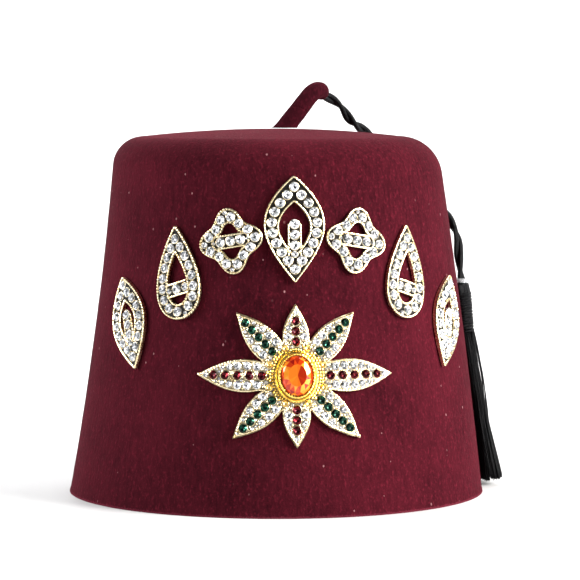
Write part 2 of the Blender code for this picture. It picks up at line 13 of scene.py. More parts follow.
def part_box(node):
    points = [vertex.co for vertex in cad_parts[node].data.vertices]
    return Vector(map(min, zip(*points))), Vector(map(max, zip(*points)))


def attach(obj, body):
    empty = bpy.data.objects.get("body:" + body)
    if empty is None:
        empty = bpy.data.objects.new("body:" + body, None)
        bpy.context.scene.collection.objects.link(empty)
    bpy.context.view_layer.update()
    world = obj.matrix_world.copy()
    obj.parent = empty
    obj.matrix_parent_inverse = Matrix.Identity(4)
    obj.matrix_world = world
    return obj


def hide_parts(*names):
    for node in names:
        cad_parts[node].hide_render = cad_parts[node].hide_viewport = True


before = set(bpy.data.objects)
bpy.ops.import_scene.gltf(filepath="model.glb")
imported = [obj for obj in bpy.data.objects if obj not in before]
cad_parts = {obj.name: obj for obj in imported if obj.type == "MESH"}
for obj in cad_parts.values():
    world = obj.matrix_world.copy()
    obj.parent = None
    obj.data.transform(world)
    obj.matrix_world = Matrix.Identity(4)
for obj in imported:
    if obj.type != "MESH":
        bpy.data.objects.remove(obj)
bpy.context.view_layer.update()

# Crown, as in the solids
RIM_HALF_WIDTH = 0.089
RIM_HALF_DEPTH = 0.092
CROWN_HEIGHT = 0.1522
TOP_INSET = 0.0200
WALL_HOLLOW_LEFT = 0.0019
WALL_HOLLOW_RIGHT = -0.0008
FELT = 0.0022
EDGE_RADIUS_LEFT = 0.013
EDGE_RADIUS_RIGHT = 0.018
TOP_BULGE = 0.0032
CLEARANCE = 0.0003
CROWN_SIDES = 168
# Set-back from the outer face, then the steps up the wall, over the edge and across the top
CROWN_FACES = ((0.0, 54, 14, 12), (FELT, 16, 7, 5))
CROWN_SHARP = 50.0
# Scale and depth of the felt's unevenness
FELT_WAVES = ((26.0, 0.00030), (160.0, 0.00012))
FIBRES = 9000
FIBRE_HALF_WIDTH = 0.00003

# Stem
STEM_RADIUS = 0.0041
STEM_TIP_RADIUS = 0.0036
STEM_HEIGHT = 0.0161
STEM_LEAN = 0.0166
STEM_BACK = 0.0078
STEM_BASE_OFFSET = 0.0038
STEM_STEP = 0.0003
STEM_SIDES = 56
STEM_FOOT_REACH = 0.0070
STEM_FLARE = 0.0003
STEM_ROUNDING = 0.0009
STEM_EASE = 0.0007
LAP_START = 2.2
LAP_SLANT = 60.0
CREASE_PLACE = 0.33
CREASE_SLANT = 0.0016
CREASE_WIDTH = 0.00032
CREASE_DEPTH = 0.07
STEM_ROWS = (
    (0.00, 0.00, 0.00),
    (0.00, 0.00, 0.10),
    (0.37, 0.03, 0.48),
    (0.65, 0.13, 0.85),
    (0.80, 0.28, 0.97),
    (0.91, 0.50, 1.00),
    (0.97, 0.74, 0.97),
    (1.00, 1.00, 0.90),
)

# Cord: the solids' route and two points more, inside the stem's tip and the tassel's head
CORD_DIAMETER = 0.0042
CORD_ROUTE = (
    (0.0203, 0.0074, 0.1704),
    (0.0208, 0.0091, 0.1696),
    (0.0256, 0.0158, 0.1680),
    (0.0310, 0.0238, 0.1641),
    (0.0373, 0.0337, 0.1573),
    (0.0423, 0.0421, 0.1547),
    (0.0473, 0.0481, 0.1511),
    (0.0512, 0.0511, 0.1452),
    (0.0591, 0.0463, 0.1366),
    (0.0671, 0.0348, 0.1287),
    (0.0730, 0.0224, 0.1219),
    (0.0774, 0.0134, 0.1154),
    (0.0803, 0.0095, 0.1080),
    (0.0808, 0.0085, 0.0998),
    (0.0814, 0.0087, 0.0938),
    (0.0821, 0.0089, 0.0884),
    (0.0825, 0.0090, 0.0842),
)
PLY_OFFSET = 0.00102
PLY_RADIUS = 0.00106
PLY_PITCH = 0.0350
PLY_START = 0.6
PLY_STEP = 0.0004
PLY_SIDES = 21
YARNS = 6
YARN_PITCH = 0.0075
YARN_DEPTH = 0.07

# Ring and tassel
RING_WIRE_RADIUS = 0.0009
RING_STEPS = 72
RING_SIDES = 14
TASSEL_ANGLE = math.radians(96.0)
TASSEL_FLOOR_GAP = 0.0015
TASSEL_LENGTH = 0.0855
TASSEL_WALL_GAP = 0.0005
# Share of the height, half width, depth
TASSEL_SECTIONS = (
    (1.000, 0.0026, 0.0068),
    (0.960, 0.0040, 0.0072),
    (0.780, 0.0038, 0.0064),
    (0.745, 0.0046, 0.0064),
    (0.600, 0.0068, 0.0062),
    (0.300, 0.0096, 0.0078),
    (0.000, 0.0122, 0.0114),
)
NECK_TOP = 0.945
NECK_FOOT = 0.765
HEAD_SIDES = 44
HEAD_SPREAD = 0.96
HEART_SPREAD = 0.80
NECK_WRAPS = 15
WRAP_RADIUS = 0.00052
WRAP_STEPS = 40
STRANDS = 620
STRAND_RADIUS = 0.00024
STRAND_STEPS = 12
STRAND_TUCK = 0.01
LOCKS = 13
STRAY_STEPS = 14
STRAY_SPACING = 0.0012
# Loose threads: turn about the skirt, stand-off at the middle, share of the height at the free end
STRAY_STRANDS = (
    (1.30, 0.0037, 0.12),
    (1.25, 0.0034, 0.13),
    (1.05, 0.0016, 0.08),
    (2.10, 0.0014, 0.18),
    (0.35, 0.0014, 0.05),
    (2.70, 0.0018, 0.10),
)

# Ornament, as in the solids
CHANNEL_WIDTH = 0.0063
PLATE_THICKNESS = 0.0013
STONE_DIAMETER = 0.0041
STONE_PITCH = 0.0043
PITCH_PLAY = 0.0003
STONE_GAP = 0.0001
STONE_MARGIN = 0.0004
WALK_STEPS = 16
PITCH_STEPS = 6
ARC_EDGE_GAP = 0.0003
ARC_HALF_WIDTH = 0.079
ARC_DROP = 0.040
ARC_TILT_SHARE = 0.5
CENTRE_LEAF_HEIGHT = 0.043
CENTRE_LEAF_WIDTH = 0.025
END_LEAF_HEIGHT = 0.040
END_LEAF_WIDTH = 0.022
POINT_SHARE = 1.7
BAR_MARGIN = 0.0008
LOBES_WIDTH = 0.027
LOBE_DEPTH_SHARE = 0.16
DROP_HEIGHT = 0.038
DROP_WIDTH = 0.0225
DROP_BEND = 0.005
MOTIFS = (
    ("leaf_left", "end_leaf", -1.0),
    ("drop_left", "drop", -0.685),
    ("lobes_left", "lobes", -0.352),
    ("leaf_centre", "centre_leaf", 0.0),
    ("lobes_right", "lobes", 0.352),
    ("drop_right", "drop", 0.685),
    ("leaf_right", "end_leaf", 1.0),
)

# Rosette
ROSETTE_WIDTH = 0.083
ROSETTE_BOTTOM = 0.028
ROSETTE_GAP = 0.0085
PETALS = 8
PETAL_BELLY = 0.0032
PETAL_FULLNESS = 0.9
NOTCH_RADIUS = 0.0142
NOTCH_STONE = 0.0030
MAIN_STONE_WIDTH = 0.0125
MAIN_STONE_HEIGHT = 0.0160
MAIN_STONE_RISE = 0.0046
BEZEL_WIDTH = 0.0015
BEZEL_RISE = 0.0022
BEZEL_SIDES = 64
# The bezel's wires: place across its width, radius, place up its rise
BEZEL_WIRES = ((0.25, 0.00055, 1.0), (1.15, 0.00050, 0.35))
# The main stone's rows: share of its outline, share of its rise, shift round it
MAIN_STONE_ROWS = ((1.0, 0.0, 0.0), (1.0, 0.46, 0.0), (0.84, 0.76, 0.5), (0.56, 1.0, 0.0))
MAIN_STONE_SIDES = 16
# Lines of stones in a petal: share of its half width, start and end from base to tip, diameter
PETAL_LINES = (
    (0.00, 0.03, 0.74, 0.0039),
    (-0.60, 0.10, 0.55, 0.0036),
    (0.60, 0.10, 0.55, 0.0036),
)
# Small stones that fill the petals between these, largest first
FILLERS = (0.0030, 0.0025, 0.0021, 0.0017, 0.0013)

# Finish of the ornament
WIRE_RADIUS = 0.00042
WIRE_INSET = 0.00050
WIRE_STEP = 0.00036
FILLER_MARGIN = 0.0007
MOTIF_FILLERS = (0.0041, 0.0034, 0.0028, 0.0023, 0.0018, 0.0014)
BAR_STEPS = 24
BAR_EDGE_STEPS = 8
WIRE_TWIST = 0.00125
WIRE_SIDES = 8
PLATE_SINK = 0.0002
FACET_SHARP = 28.0
STONE_TURN = 0.8
# Places for small stones across a channel and across a petal, in the order tried
CHANNEL_PLACES = (0.5, 0.42, 0.58, 0.35, 0.65, 0.28)
PETAL_PLACES = (0.0, -0.3, 0.3, -0.45, 0.45, -0.6, 0.6, -0.72, 0.72, -0.84, 0.84)
PETAL_STEPS = 48
PETAL_FOOT = 0.12
OUTLINE_STEPS = 14
GROUND_RINGS = (1.0, 0.72, 0.42)
GRAIN_RADIUS = 0.00055
GRAIN_RINGS = 6
GRAIN_EDGE = 0.0013
PRONG_RADIUS = 0.00038
PRONG_MARGIN = 0.0010
PRONG_STEPS = 72
PRONG_LINES = 9

# Camera: the photograph's standpoint, with a closer framing
CAMERA_AZIMUTH = math.radians(-5.5)
CAMERA_DISTANCE = 1.280
EYE_HEIGHT = 0.1725
CAMERA_LENS = 185.0
AIM_SIDE = 0.006
AIM_HEIGHT = 0.086

# Studio: a floor that sweeps up into the backdrop
FLOOR_HALF_WIDTH = 5.0
FLOOR_FRONT = -4.0
SWEEP_START = 1.6
SWEEP_RADIUS = 0.9
SWEEP_STEPS = 12
BACKDROP_HEIGHT = 4.0
# Lights: name, place, aim, width and height, watts, colour
LIGHTS = (
    ("key_right", (1.42, -0.80, 0.80), (0.0, 0.0, 0.08), (1.0, 1.0), 118.0, (1.0, 0.985, 0.96)),
    ("left_side", (-1.60, -0.10, 0.60), (0.0, 0.0, 0.08), (1.0, 1.0), 46.0, (0.97, 0.98, 1.0)),
    ("backdrop", (0.0, 1.10, 2.20), (0.0, 2.50, 0.50), (4.0, 0.6), 150.0, (1.0, 1.0, 1.0)),
)
SURROUND_COLOUR = (0.97, 0.98, 1.0, 1.0)
SURROUND_STRENGTH = 0.14

# Felts: dark and light, and whether there is lint and a paler cut edge
FELTS = {
    "maroon_felt": ((0.018, 0.0013, 0.0032), (0.050, 0.0040, 0.0084), True),
    "stem_felt": ((0.012, 0.0011, 0.0026), (0.032, 0.0028, 0.0062), False),
    "felt_fibre": ((0.036, 0.003, 0.007), (0.11, 0.012, 0.022), False),
}
THREAD_COLOUR = (0.0022, 0.0022, 0.0027)
THREAD_SCALE = 900.0
# Metals: light, dark, roughness
METALS = {
    "pale_gold": ((1.00, 0.86, 0.56), (0.78, 0.58, 0.28), 0.22),
    # The setting ground's dark colour is painted shade between the rosette's stones
    "setting_ground": ((0.62, 0.52, 0.34), (0.16, 0.12, 0.07), 0.40),
    "yellow_gold": ((1.00, 0.72, 0.16), (0.66, 0.38, 0.05), 0.18),
}
# Stones: dark, middle and light facets, painted brightness standing in for the light each facet returns,
# metallic share, weight of the clear coat
STONES = {
    "clear_crystal": ((0.02, 0.022, 0.026), (0.30, 0.31, 0.33), (0.92, 0.93, 0.95), 0.45, 0.35),
    "green_crystal": ((0.000, 0.002, 0.001), (0.000, 0.008, 0.005), (0.005, 0.065, 0.038), 0.85, 0.05),
    "red_crystal": ((0.004, 0.000, 0.001), (0.025, 0.000, 0.002), (0.13, 0.002, 0.006), 0.85, 0.05),
    "honey_crystal": ((0.22, 0.10, 0.01), (0.75, 0.42, 0.06), (1.0, 0.80, 0.30), 0.75, 0.35),
    # The culet finish is darker: a painted dark reflection in the middle of each clear stone's table
    "crystal_culet": ((0.004, 0.004, 0.005), (0.030, 0.031, 0.034), (0.20, 0.21, 0.22), 0.45, 0.35),
    "amber_glass": ((0.30, 0.006, 0.001), (0.70, 0.055, 0.003), (0.95, 0.30, 0.02), 0.45, 0.35),
}


def turns(count, shift=0.0):
    """Angles evenly round a circle."""
    return [2.0 * math.pi * (index + shift) / count for index in range(count)]


# Wall of the crown

def wall_hollow(angle):
    middle = (WALL_HOLLOW_LEFT + WALL_HOLLOW_RIGHT) / 2.0
    return middle + (WALL_HOLLOW_RIGHT - WALL_HOLLOW_LEFT) / 2.0 * math.sin(angle)


def wall_inset(height, angle):
    share = height / CROWN_HEIGHT
    return TOP_INSET * share + wall_hollow(angle) * 4.0 * share * (1.0 - share)


def wall_lean(height, angle):
    share = height / CROWN_HEIGHT
    return math.atan((TOP_INSET + wall_hollow(angle) * 4.0 * (1.0 - 2.0 * share)) / CROWN_HEIGHT)


def on_wall(angle, height, lift):
    """A point off the outer wall: angle from the front towards +X, height, distance off the felt."""
    inset = wall_inset(height, angle)
    half_width = RIM_HALF_WIDTH - inset
    half_depth = RIM_HALF_DEPTH - inset
    point = Vector((half_width * math.sin(angle), -half_depth * math.cos(angle), height))
    outward = Vector((math.sin(angle) / half_width, -math.cos(angle) / half_depth, 0.0)).normalized()
    lean = wall_lean(height, angle)
    normal = outward * math.cos(lean) + Vector((0.0, 0.0, math.sin(lean)))
    return point + normal * lift


def mean_radius(height, angle):
    return (RIM_HALF_WIDTH + RIM_HALF_DEPTH) / 2.0 - wall_inset(height, angle)


def edge_radius(angle):
    middle = (EDGE_RADIUS_LEFT + EDGE_RADIUS_RIGHT) / 2.0
    return middle + (EDGE_RADIUS_RIGHT - EDGE_RADIUS_LEFT) / 2.0 * math.sin(angle)


def edge_start(angle):
    radius = edge_radius(angle)
    return CROWN_HEIGHT - radius + radius * math.sin(wall_lean(CROWN_HEIGHT, angle))


# Materials

class Look:
    """A Principled material and short ways to add nodes to it."""

    def __init__(self, name, values):
        self.material = bpy.data.materials.new(name)
        self.material.use_nodes = True
        self.tree = self.material.node_tree
        self.shader = self.tree.nodes["Principled BSDF"]
        for socket, value in values.items():
            self.shader.inputs[socket].default_value = value

    def node(self, kind, **values):
        made = self.tree.nodes.new(kind)
        for key, value in values.items():
            if key in made.inputs:
                made.inputs[key].default_value = value
            else:
                setattr(made, key, value)
        return made

    def link(self, output, socket):
        self.tree.links.new(output, socket)

    def colour(self, output):
        self.link(output, self.shader.inputs["Base Color"])

    def place(self, scale=(1.0, 1.0, 1.0), source="Object"):
        """Coordinates on the object, scaled."""
        coordinates = self.node("ShaderNodeTexCoord")
        mapping = self.node("ShaderNodeMapping")
        mapping.inputs["Scale"].default_value = scale
        self.link(coordinates.outputs[source], mapping.inputs["Vector"])
        return mapping.outputs["Vector"]

    def noise(self, scale, detail=4.0, stretch=(1.0, 1.0, 1.0)):
        texture = self.node("ShaderNodeTexNoise", Scale=scale, Detail=detail)
        self.link(self.place(stretch), texture.inputs["Vector"])
        return texture.outputs["Fac"]

    def ramp(self, value, *stops):
        """A colour ramp; each stop is a place and a colour."""
        ramp = self.node("ShaderNodeValToRGB")
        ramp.color_ramp.elements[0].position = stops[0][0]
        ramp.color_ramp.elements[0].color = (*stops[0][1], 1.0)
        ramp.color_ramp.elements[1].position = stops[-1][0]
        ramp.color_ramp.elements[1].color = (*stops[-1][1], 1.0)
        for position, colour in stops[1:-1]:
            ramp.color_ramp.elements.new(position).color = (*colour, 1.0)
        self.link(value, ramp.inputs["Fac"])
        return ramp.outputs["Color"]

    def mix(self, factor, first, second, blend="MIX"):
        """Two colours mixed; a factor may be a number or an output."""
        made = self.node("ShaderNodeMix")
        made.data_type = "RGBA"
        made.blend_type = blend
        for socket, value in ((made.inputs[0], factor), (made.inputs[6], first), (made.inputs[7], second)):
            if isinstance(value, bpy.types.NodeSocket):
                self.link(value, socket)
            elif isinstance(value, (float, int)):
                socket.default_value = value
            else:
                socket.default_value = (*value, 1.0)
        return made.outputs[2]

    def math(self, operation, first, second):
        made = self.node("ShaderNodeMath")
        made.operation = operation
        for socket, value in zip(made.inputs, (first, second)):
            if isinstance(value, bpy.types.NodeSocket):
                self.link(value, socket)
            else:
                socket.default_value = value
        return made.outputs[0]

    def weighted(self, *parts):
        """The sum of some outputs, each times its weight."""
        products = [self.math("MULTIPLY", output, weight) for output, weight in parts]
        total = products[0]
        for product in products[1:]:
            total = self.math("ADD", total, product)
        return total

    def bump(self, height, strength, distance):
        made = self.node("ShaderNodeBump", Strength=strength, Distance=distance)
        self.link(height, made.inputs["Height"])
        self.link(made.outputs["Normal"], self.shader.inputs["Normal"])


def felt_look(name, dark, light, flecks):
    """Brushed wool felt: mottled, with fibre relief, a soft sheen, pale lint and a paler cut edge."""
    look = Look(name, {
        "Roughness": 0.92,
        "Specular IOR Level": 0.03,
        "Sheen Weight": 0.045,
        "Sheen Roughness": 0.5,
        "Sheen Tint": (0.90, 0.14, 0.22, 1.0),
    })
    broad = look.noise(28.0, 3.0)
    fibres = look.noise(1500.0, 5.0)
    brushed = look.noise(620.0, 6.0, (1.0, 1.0, 0.22))
    mottle = look.weighted((broad, 0.40), (brushed, 0.35), (fibres, 0.25))
    colour = look.ramp(mottle, (0.36, dark), (0.64, light))
    nap = look.noise(1050.0, 3.0, (1.0, 1.0, 0.6))
    raised = look.ramp(nap, (0.54, (0.0, 0.0, 0.0)), (0.72, (1.0, 1.0, 1.0)))
    colour = look.mix(look.math("MULTIPLY", raised, 0.45), colour, tuple(2.3 * value for value in light))
    if flecks:
        cells = look.node("ShaderNodeTexVoronoi", Scale=330.0)
        look.link(look.place((1.0, 1.0, 0.7)), cells.inputs["Vector"])
        split = look.node("ShaderNodeSeparateColor")
        look.link(cells.outputs["Color"], split.inputs["Color"])
        size = look.math("MULTIPLY", look.math("POWER", split.outputs["Green"], 2.5), 0.15)
        near = look.math("LESS_THAN", cells.outputs["Distance"], size)
        chosen = look.math("GREATER_THAN", split.outputs["Red"], 0.45)
        speck = look.math("MULTIPLY", look.math("MULTIPLY", near, chosen), split.outputs["Blue"])
        colour = look.mix(look.math("MULTIPLY", speck, 0.6), colour, (0.40, 0.20, 0.21))
        place = look.node("ShaderNodeSeparateXYZ")
        look.link(look.place(), place.inputs["Vector"])
        edge = look.math("LESS_THAN", place.outputs["Z"], look.math("MULTIPLY", fibres, 0.0016))
        colour = look.mix(look.math("MULTIPLY", edge, 0.6), colour, (0.095, 0.014, 0.024))
    look.colour(colour)
    relief = look.math("ADD", look.math("MULTIPLY", fibres, 0.6), look.math("ADD", brushed, nap))
    look.bump(relief, 0.55, 0.00035)
    return look.material


def thread_look(name):
    """Black spun rayon: fine slanted threads with a silky sheen, mapped round and along the piece."""
    look = Look(name, {"Roughness": 0.36, "Specular IOR Level": 0.10})
    waves = look.node("ShaderNodeTexWave", Scale=THREAD_SCALE, Distortion=1.2, Detail=2.0)
    waves.bands_direction = "DIAGONAL"
    look.link(look.place(source="UV"), waves.inputs["Vector"])
    fine = look.noise(2600.0, 3.0)
    shade = look.weighted((waves.outputs["Fac"], 0.6), (fine, 0.4))
    darker = tuple(0.35 * value for value in THREAD_COLOUR)
    lighter = tuple(2.4 * value for value in THREAD_COLOUR)
    look.colour(look.ramp(shade, (0.25, darker), (0.85, lighter)))
    look.bump(shade, 0.6, 0.00012)
    return look.material


def gold_look(name, light, dark, roughness):
    """Pale gold plating, mottled darker by noise: a little worn, and on the setting ground painted shade
    between the stones.
    """
    look = Look(name, {"Roughness": roughness, "Metallic": 1.0})
    wear_and_shade = look.noise(420.0, 4.0)
    fine = look.noise(3200.0, 3.0)
    # Noise mottle: a little wear on the wires, painted shade on the setting ground
    look.colour(look.ramp(wear_and_shade, (0.30, dark), (0.60, light)))
    rough = look.math("ADD", look.math("MULTIPLY", fine, 0.25), roughness * 0.6)
    look.link(rough, look.shader.inputs["Roughness"])
    look.bump(fine, 0.25, 0.00008)
    return look.material


def dark_look():
    """The blackened floor of the channels."""
    look = Look("channel_floor", {"Roughness": 0.6, "Specular IOR Level": 0.12})
    grime = look.noise(900.0, 4.0)
    colour = look.ramp(grime, (0.35, (0.003, 0.003, 0.003)), (0.70, (0.020, 0.016, 0.012)))
    look.colour(colour)
    look.bump(grime, 0.4, 0.00012)
    return look.material


def crystal_look(name, dark, middle, light, metallic, coat):
    """A foil-backed cut stone: each facet is painted its own brightness, a painted reflection standing in for
    the light it returns, with faint painted coloured glints.
    """
    look = Look(name, {
        "Roughness": 0.10,
        "Metallic": metallic,
        "Coat Weight": coat,
        "Coat Roughness": 0.02,
        "Coat IOR": 1.6,
    })
    geometry = look.node("ShaderNodeNewGeometry")
    snapped = look.node("ShaderNodeVectorMath")
    snapped.operation = "SNAP"
    snapped.inputs[1].default_value = (0.02, 0.02, 0.02)
    look.link(geometry.outputs["True Normal"], snapped.inputs[0])
    shuffled = look.node("ShaderNodeTexWhiteNoise")
    look.link(snapped.outputs[0], shuffled.inputs["Vector"])
    # Painted reflection: white noise on the snapped facet normal picks each facet's brightness, and the
    # soft-light mix tints it with painted coloured glints
    colour = look.ramp(shuffled.outputs["Value"], (0.0, dark), (0.45, middle), (0.80, light))
    look.colour(look.mix(0.10, colour, shuffled.outputs["Color"], "SOFT_LIGHT"))
    return look.material


def ring_look():
    """Clear moulded ring with faint swirls."""
    look = Look("clear_ring", {"Roughness": 0.06, "Transmission Weight": 0.75, "IOR": 1.49})
    swirl = look.noise(700.0, 3.0)
    colour = look.ramp(swirl, (0.3, (0.82, 0.84, 0.87)), (0.7, (0.97, 0.98, 1.0)))
    look.colour(colour)
    look.bump(swirl, 0.15, 0.0001)
    return look.material


def floor_look():
    look = Look("studio_floor", {"Roughness": 0.55})
    look.colour(look.ramp(look.noise(3.0, 2.0), (0.3, (0.54, 0.54, 0.54)), (0.7, (0.57, 0.57, 0.57))))
    return look.material


# Mesh building

class Build:
    """Vertices, faces, and a map of each corner, gathered before one mesh is made of them."""

    def __init__(self):
        self.points = []
        self.faces = []
        self.slots = []
        self.corners = []

    def add(self, point):
        self.points.append(tuple(point))
        return len(self.points) - 1

    def face(self, indices, slot=0, corners=None):
        self.faces.append(tuple(indices))
        self.slots.append(slot)
        self.corners.extend(corners if corners else [(0.0, 0.0)] * len(indices))

    def bridge(self, first, second, slot=0, along=(0.0, 0.0)):
        """Quads between two closed rows of as many points; along gives the map's reach at each row."""
        count = len(first)
        for index in range(count):
            after = (index + 1) % count
            left = index / count
            right = (index + 1) / count
            corners = ((left, along[0]), (right, along[0]), (right, along[1]), (left, along[1]))
            self.face((first[index], first[after], second[after], second[index]), slot, corners)

    def skin(self, rows, slot=0):
        for first, second in zip(rows, rows[1:]):
            self.bridge(first, second, slot)

    def fan(self, row, point, slot=0):
        middle = self.add(point)
        for index in range(len(row)):
            self.face((row[index], row[(index + 1) % len(row)], middle), slot)

    def tube(self, centres, radii, sides, slot=0, closed=False, lobes=None):
        """A tube along points; lobes(reach, turn) may change its radius."""
        frames = carried_frames(centres, closed)
        rows = []
        reach = 0.0
        reaches = []
        for step, (centre, radius) in enumerate(zip(centres, radii)):
            if step:
                reach += (centre - centres[step - 1]).length
            reaches.append(reach)
            side, up = frames[step]
            row = []
            for turn in turns(sides):
                here = radius * (lobes(reach, turn) if lobes else 1.0)
                row.append(self.add(centre + side * math.cos(turn) * here + up * math.sin(turn) * here))
            rows.append(row)
        for step in range(len(rows) - 1):
            self.bridge(rows[step], rows[step + 1], slot, (reaches[step], reaches[step + 1]))
        if closed:
            self.bridge(rows[-1], rows[0], slot)
        else:
            self.fan(rows[0][::-1], centres[0], slot)
            self.fan(rows[-1], centres[-1], slot)

    def object(self, name, materials, smooth=True, sharp=None):
        data = bpy.data.meshes.new(name)
        data.from_pydata(self.points, [], self.faces)
        data.polygons.foreach_set("material_index", self.slots)
        layer = data.uv_layers.new(name="map")
        layer.data.foreach_set("uv", [value for corner in self.corners for value in corner])
        for look in materials:
            data.materials.append(look)
        data.validate()
        if smooth:
            data.shade_smooth()
        if sharp is not None:
            data.set_sharp_from_angle(angle=math.radians(sharp))
        made = bpy.data.objects.new(name, data)
        bpy.context.scene.collection.objects.link(made)
        return made


def carried_frames(centres, closed):
    """Two directions across a path at each point, carried along it without twist."""
    frames = []
    count = len(centres)
    side = None
    for index in range(count):
        before = centres[index - 1] if index > 0 or closed else centres[index]
        after = centres[(index + 1) % count] if index < count - 1 or closed else centres[index]
        along = (after - before).normalized()
        if side is None:
            helper = Vector((0.0, 0.0, 1.0)) if abs(along.z) < 0.8 else Vector((1.0, 0.0, 0.0))
            side = along.cross(helper).normalized()
        side = (side - along * side.dot(along)).normalized()
        frames.append((side, along.cross(side)))
    return frames


def smooth_path(route, spacing, closed=False):
    """Points about this far apart on a smooth curve through the route's points."""
    knots = [Vector(point) for point in route]
    if closed:
        knots = [knots[-1]] + knots + [knots[0], knots[1]]
    else:
        knots = [knots[0]] + knots + [knots[-1]]
    fine = []
    steps = 24
    for before, start, end, after in zip(knots, knots[1:], knots[2:], knots[3:]):
        for step in range(steps):
            t = step / steps
            bend = 2.0 * start + (end - before) * t
            bend += (2.0 * before - 5.0 * start + 4.0 * end - after) * t ** 2
            bend += (3.0 * start - before - 3.0 * end + after) * t ** 3
            fine.append(bend / 2.0)
    fine.append(fine[0].copy() if closed else knots[-1])
    lengths = [0.0]
    for first, second in zip(fine, fine[1:]):
        lengths.append(lengths[-1] + (second - first).length)
    count = max(3, round(lengths[-1] / spacing))
    path = []
    place = 0
    for index in range(count if closed else count + 1):
        target = lengths[-1] * index / count
        while place < len(fine) - 2 and lengths[place + 1] < target:
            place += 1
        span = lengths[place + 1] - lengths[place]
        share = (target - lengths[place]) / span if span > 0.0 else 0.0
        path.append(fine[place].lerp(fine[place + 1], min(1.0, share)))
    return path


def path_length(points):
    return sum((second - first).length for first, second in zip(points, points[1:]))


# Crown

def rough(point, scale, depth):
    """A small uneven set-back of the felt, never outwards."""
    return -depth * (0.5 + 0.5 * noise.noise(point * scale))


def crown_row(build, inside, place):
    row = []
    for angle in turns(CROWN_SIDES):
        inset, height, share = place(angle, inside)
        point = Vector((
            (RIM_HALF_WIDTH - inset) * share * math.sin(angle),
            -(RIM_HALF_DEPTH - inset) * share * math.cos(angle),
            height,
        ))
        if inside == 0.0 and height > 0.0:
            outward = Vector((point.x, point.y, 0.0)).normalized()
            point += outward * sum(rough(point, scale, depth) for scale, depth in FELT_WAVES)
        row.append(build.add(point))
    return row


def wall_place(share):
    def place(angle, inside):
        height = edge_start(angle) * share
        return wall_inset(height, angle) + inside, height, 1.0
    return place


def edge_place(share):
    def place(angle, inside):
        radius = edge_radius(angle)
        lean = wall_lean(CROWN_HEIGHT, angle)
        turn = lean + (math.pi / 2.0 - lean) * share
        centre_inset = wall_inset(edge_start(angle), angle) + radius * math.cos(lean)
        reach = radius - inside
        return centre_inset - reach * math.cos(turn), CROWN_HEIGHT - radius + reach * math.sin(turn), 1.0
    return place


def top_place(share):
    def place(angle, inside):
        radius = edge_radius(angle)
        inset = wall_inset(edge_start(angle), angle) + radius * math.cos(wall_lean(CROWN_HEIGHT, angle))
        return inset, CROWN_HEIGHT + TOP_BULGE * (1.0 - share ** 2) - inside, share
    return place


def make_crown(felt):
    build = Build()
    rims = []
    for inside, wall, edge, top in CROWN_FACES:
        places = [wall_place(step / wall) for step in range(wall + 1)]
        places += [edge_place(step / edge) for step in range(1, edge + 1)]
        places += [top_place(1.0 - step / top) for step in range(1, top)]
        rows = [crown_row(build, inside, place) for place in places]
        for lower, upper in zip(rows, rows[1:]):
            build.bridge(*((upper, lower) if inside else (lower, upper)))
        peak = (0.0, 0.0, CROWN_HEIGHT + TOP_BULGE - inside)
        build.fan(rows[-1][::-1] if inside else rows[-1], peak)
        rims.append(rows[0])
    build.bridge(rims[1], rims[0])
    crown = build.object("crown_felt", [felt])
    crown.data.set_sharp_from_angle(angle=math.radians(CROWN_SHARP))
    return crown


def make_fuzz(fuzz):
    """Short loose fibres standing off the felt."""
    build = Build()
    dice = random.Random(4)
    for _ in range(FIBRES):
        angle = dice.uniform(0.0, 2.0 * math.pi)
        height = dice.uniform(0.0005, CROWN_HEIGHT * 0.9)
        root = on_wall(angle, height, -0.0002)
        tip_angle = angle + dice.uniform(-0.008, 0.008)
        tip_height = height + dice.uniform(-0.0010, 0.0006)
        tip = on_wall(tip_angle, tip_height, dice.uniform(0.0003, 0.0009))
        across = (tip - root).cross(Vector((0.0, 0.0, 1.0))).normalized() * FIBRE_HALF_WIDTH
        build.face((build.add(root - across), build.add(root + across), build.add(tip)))
    return build.object("crown_fuzz", [fuzz], smooth=False)


# Stem

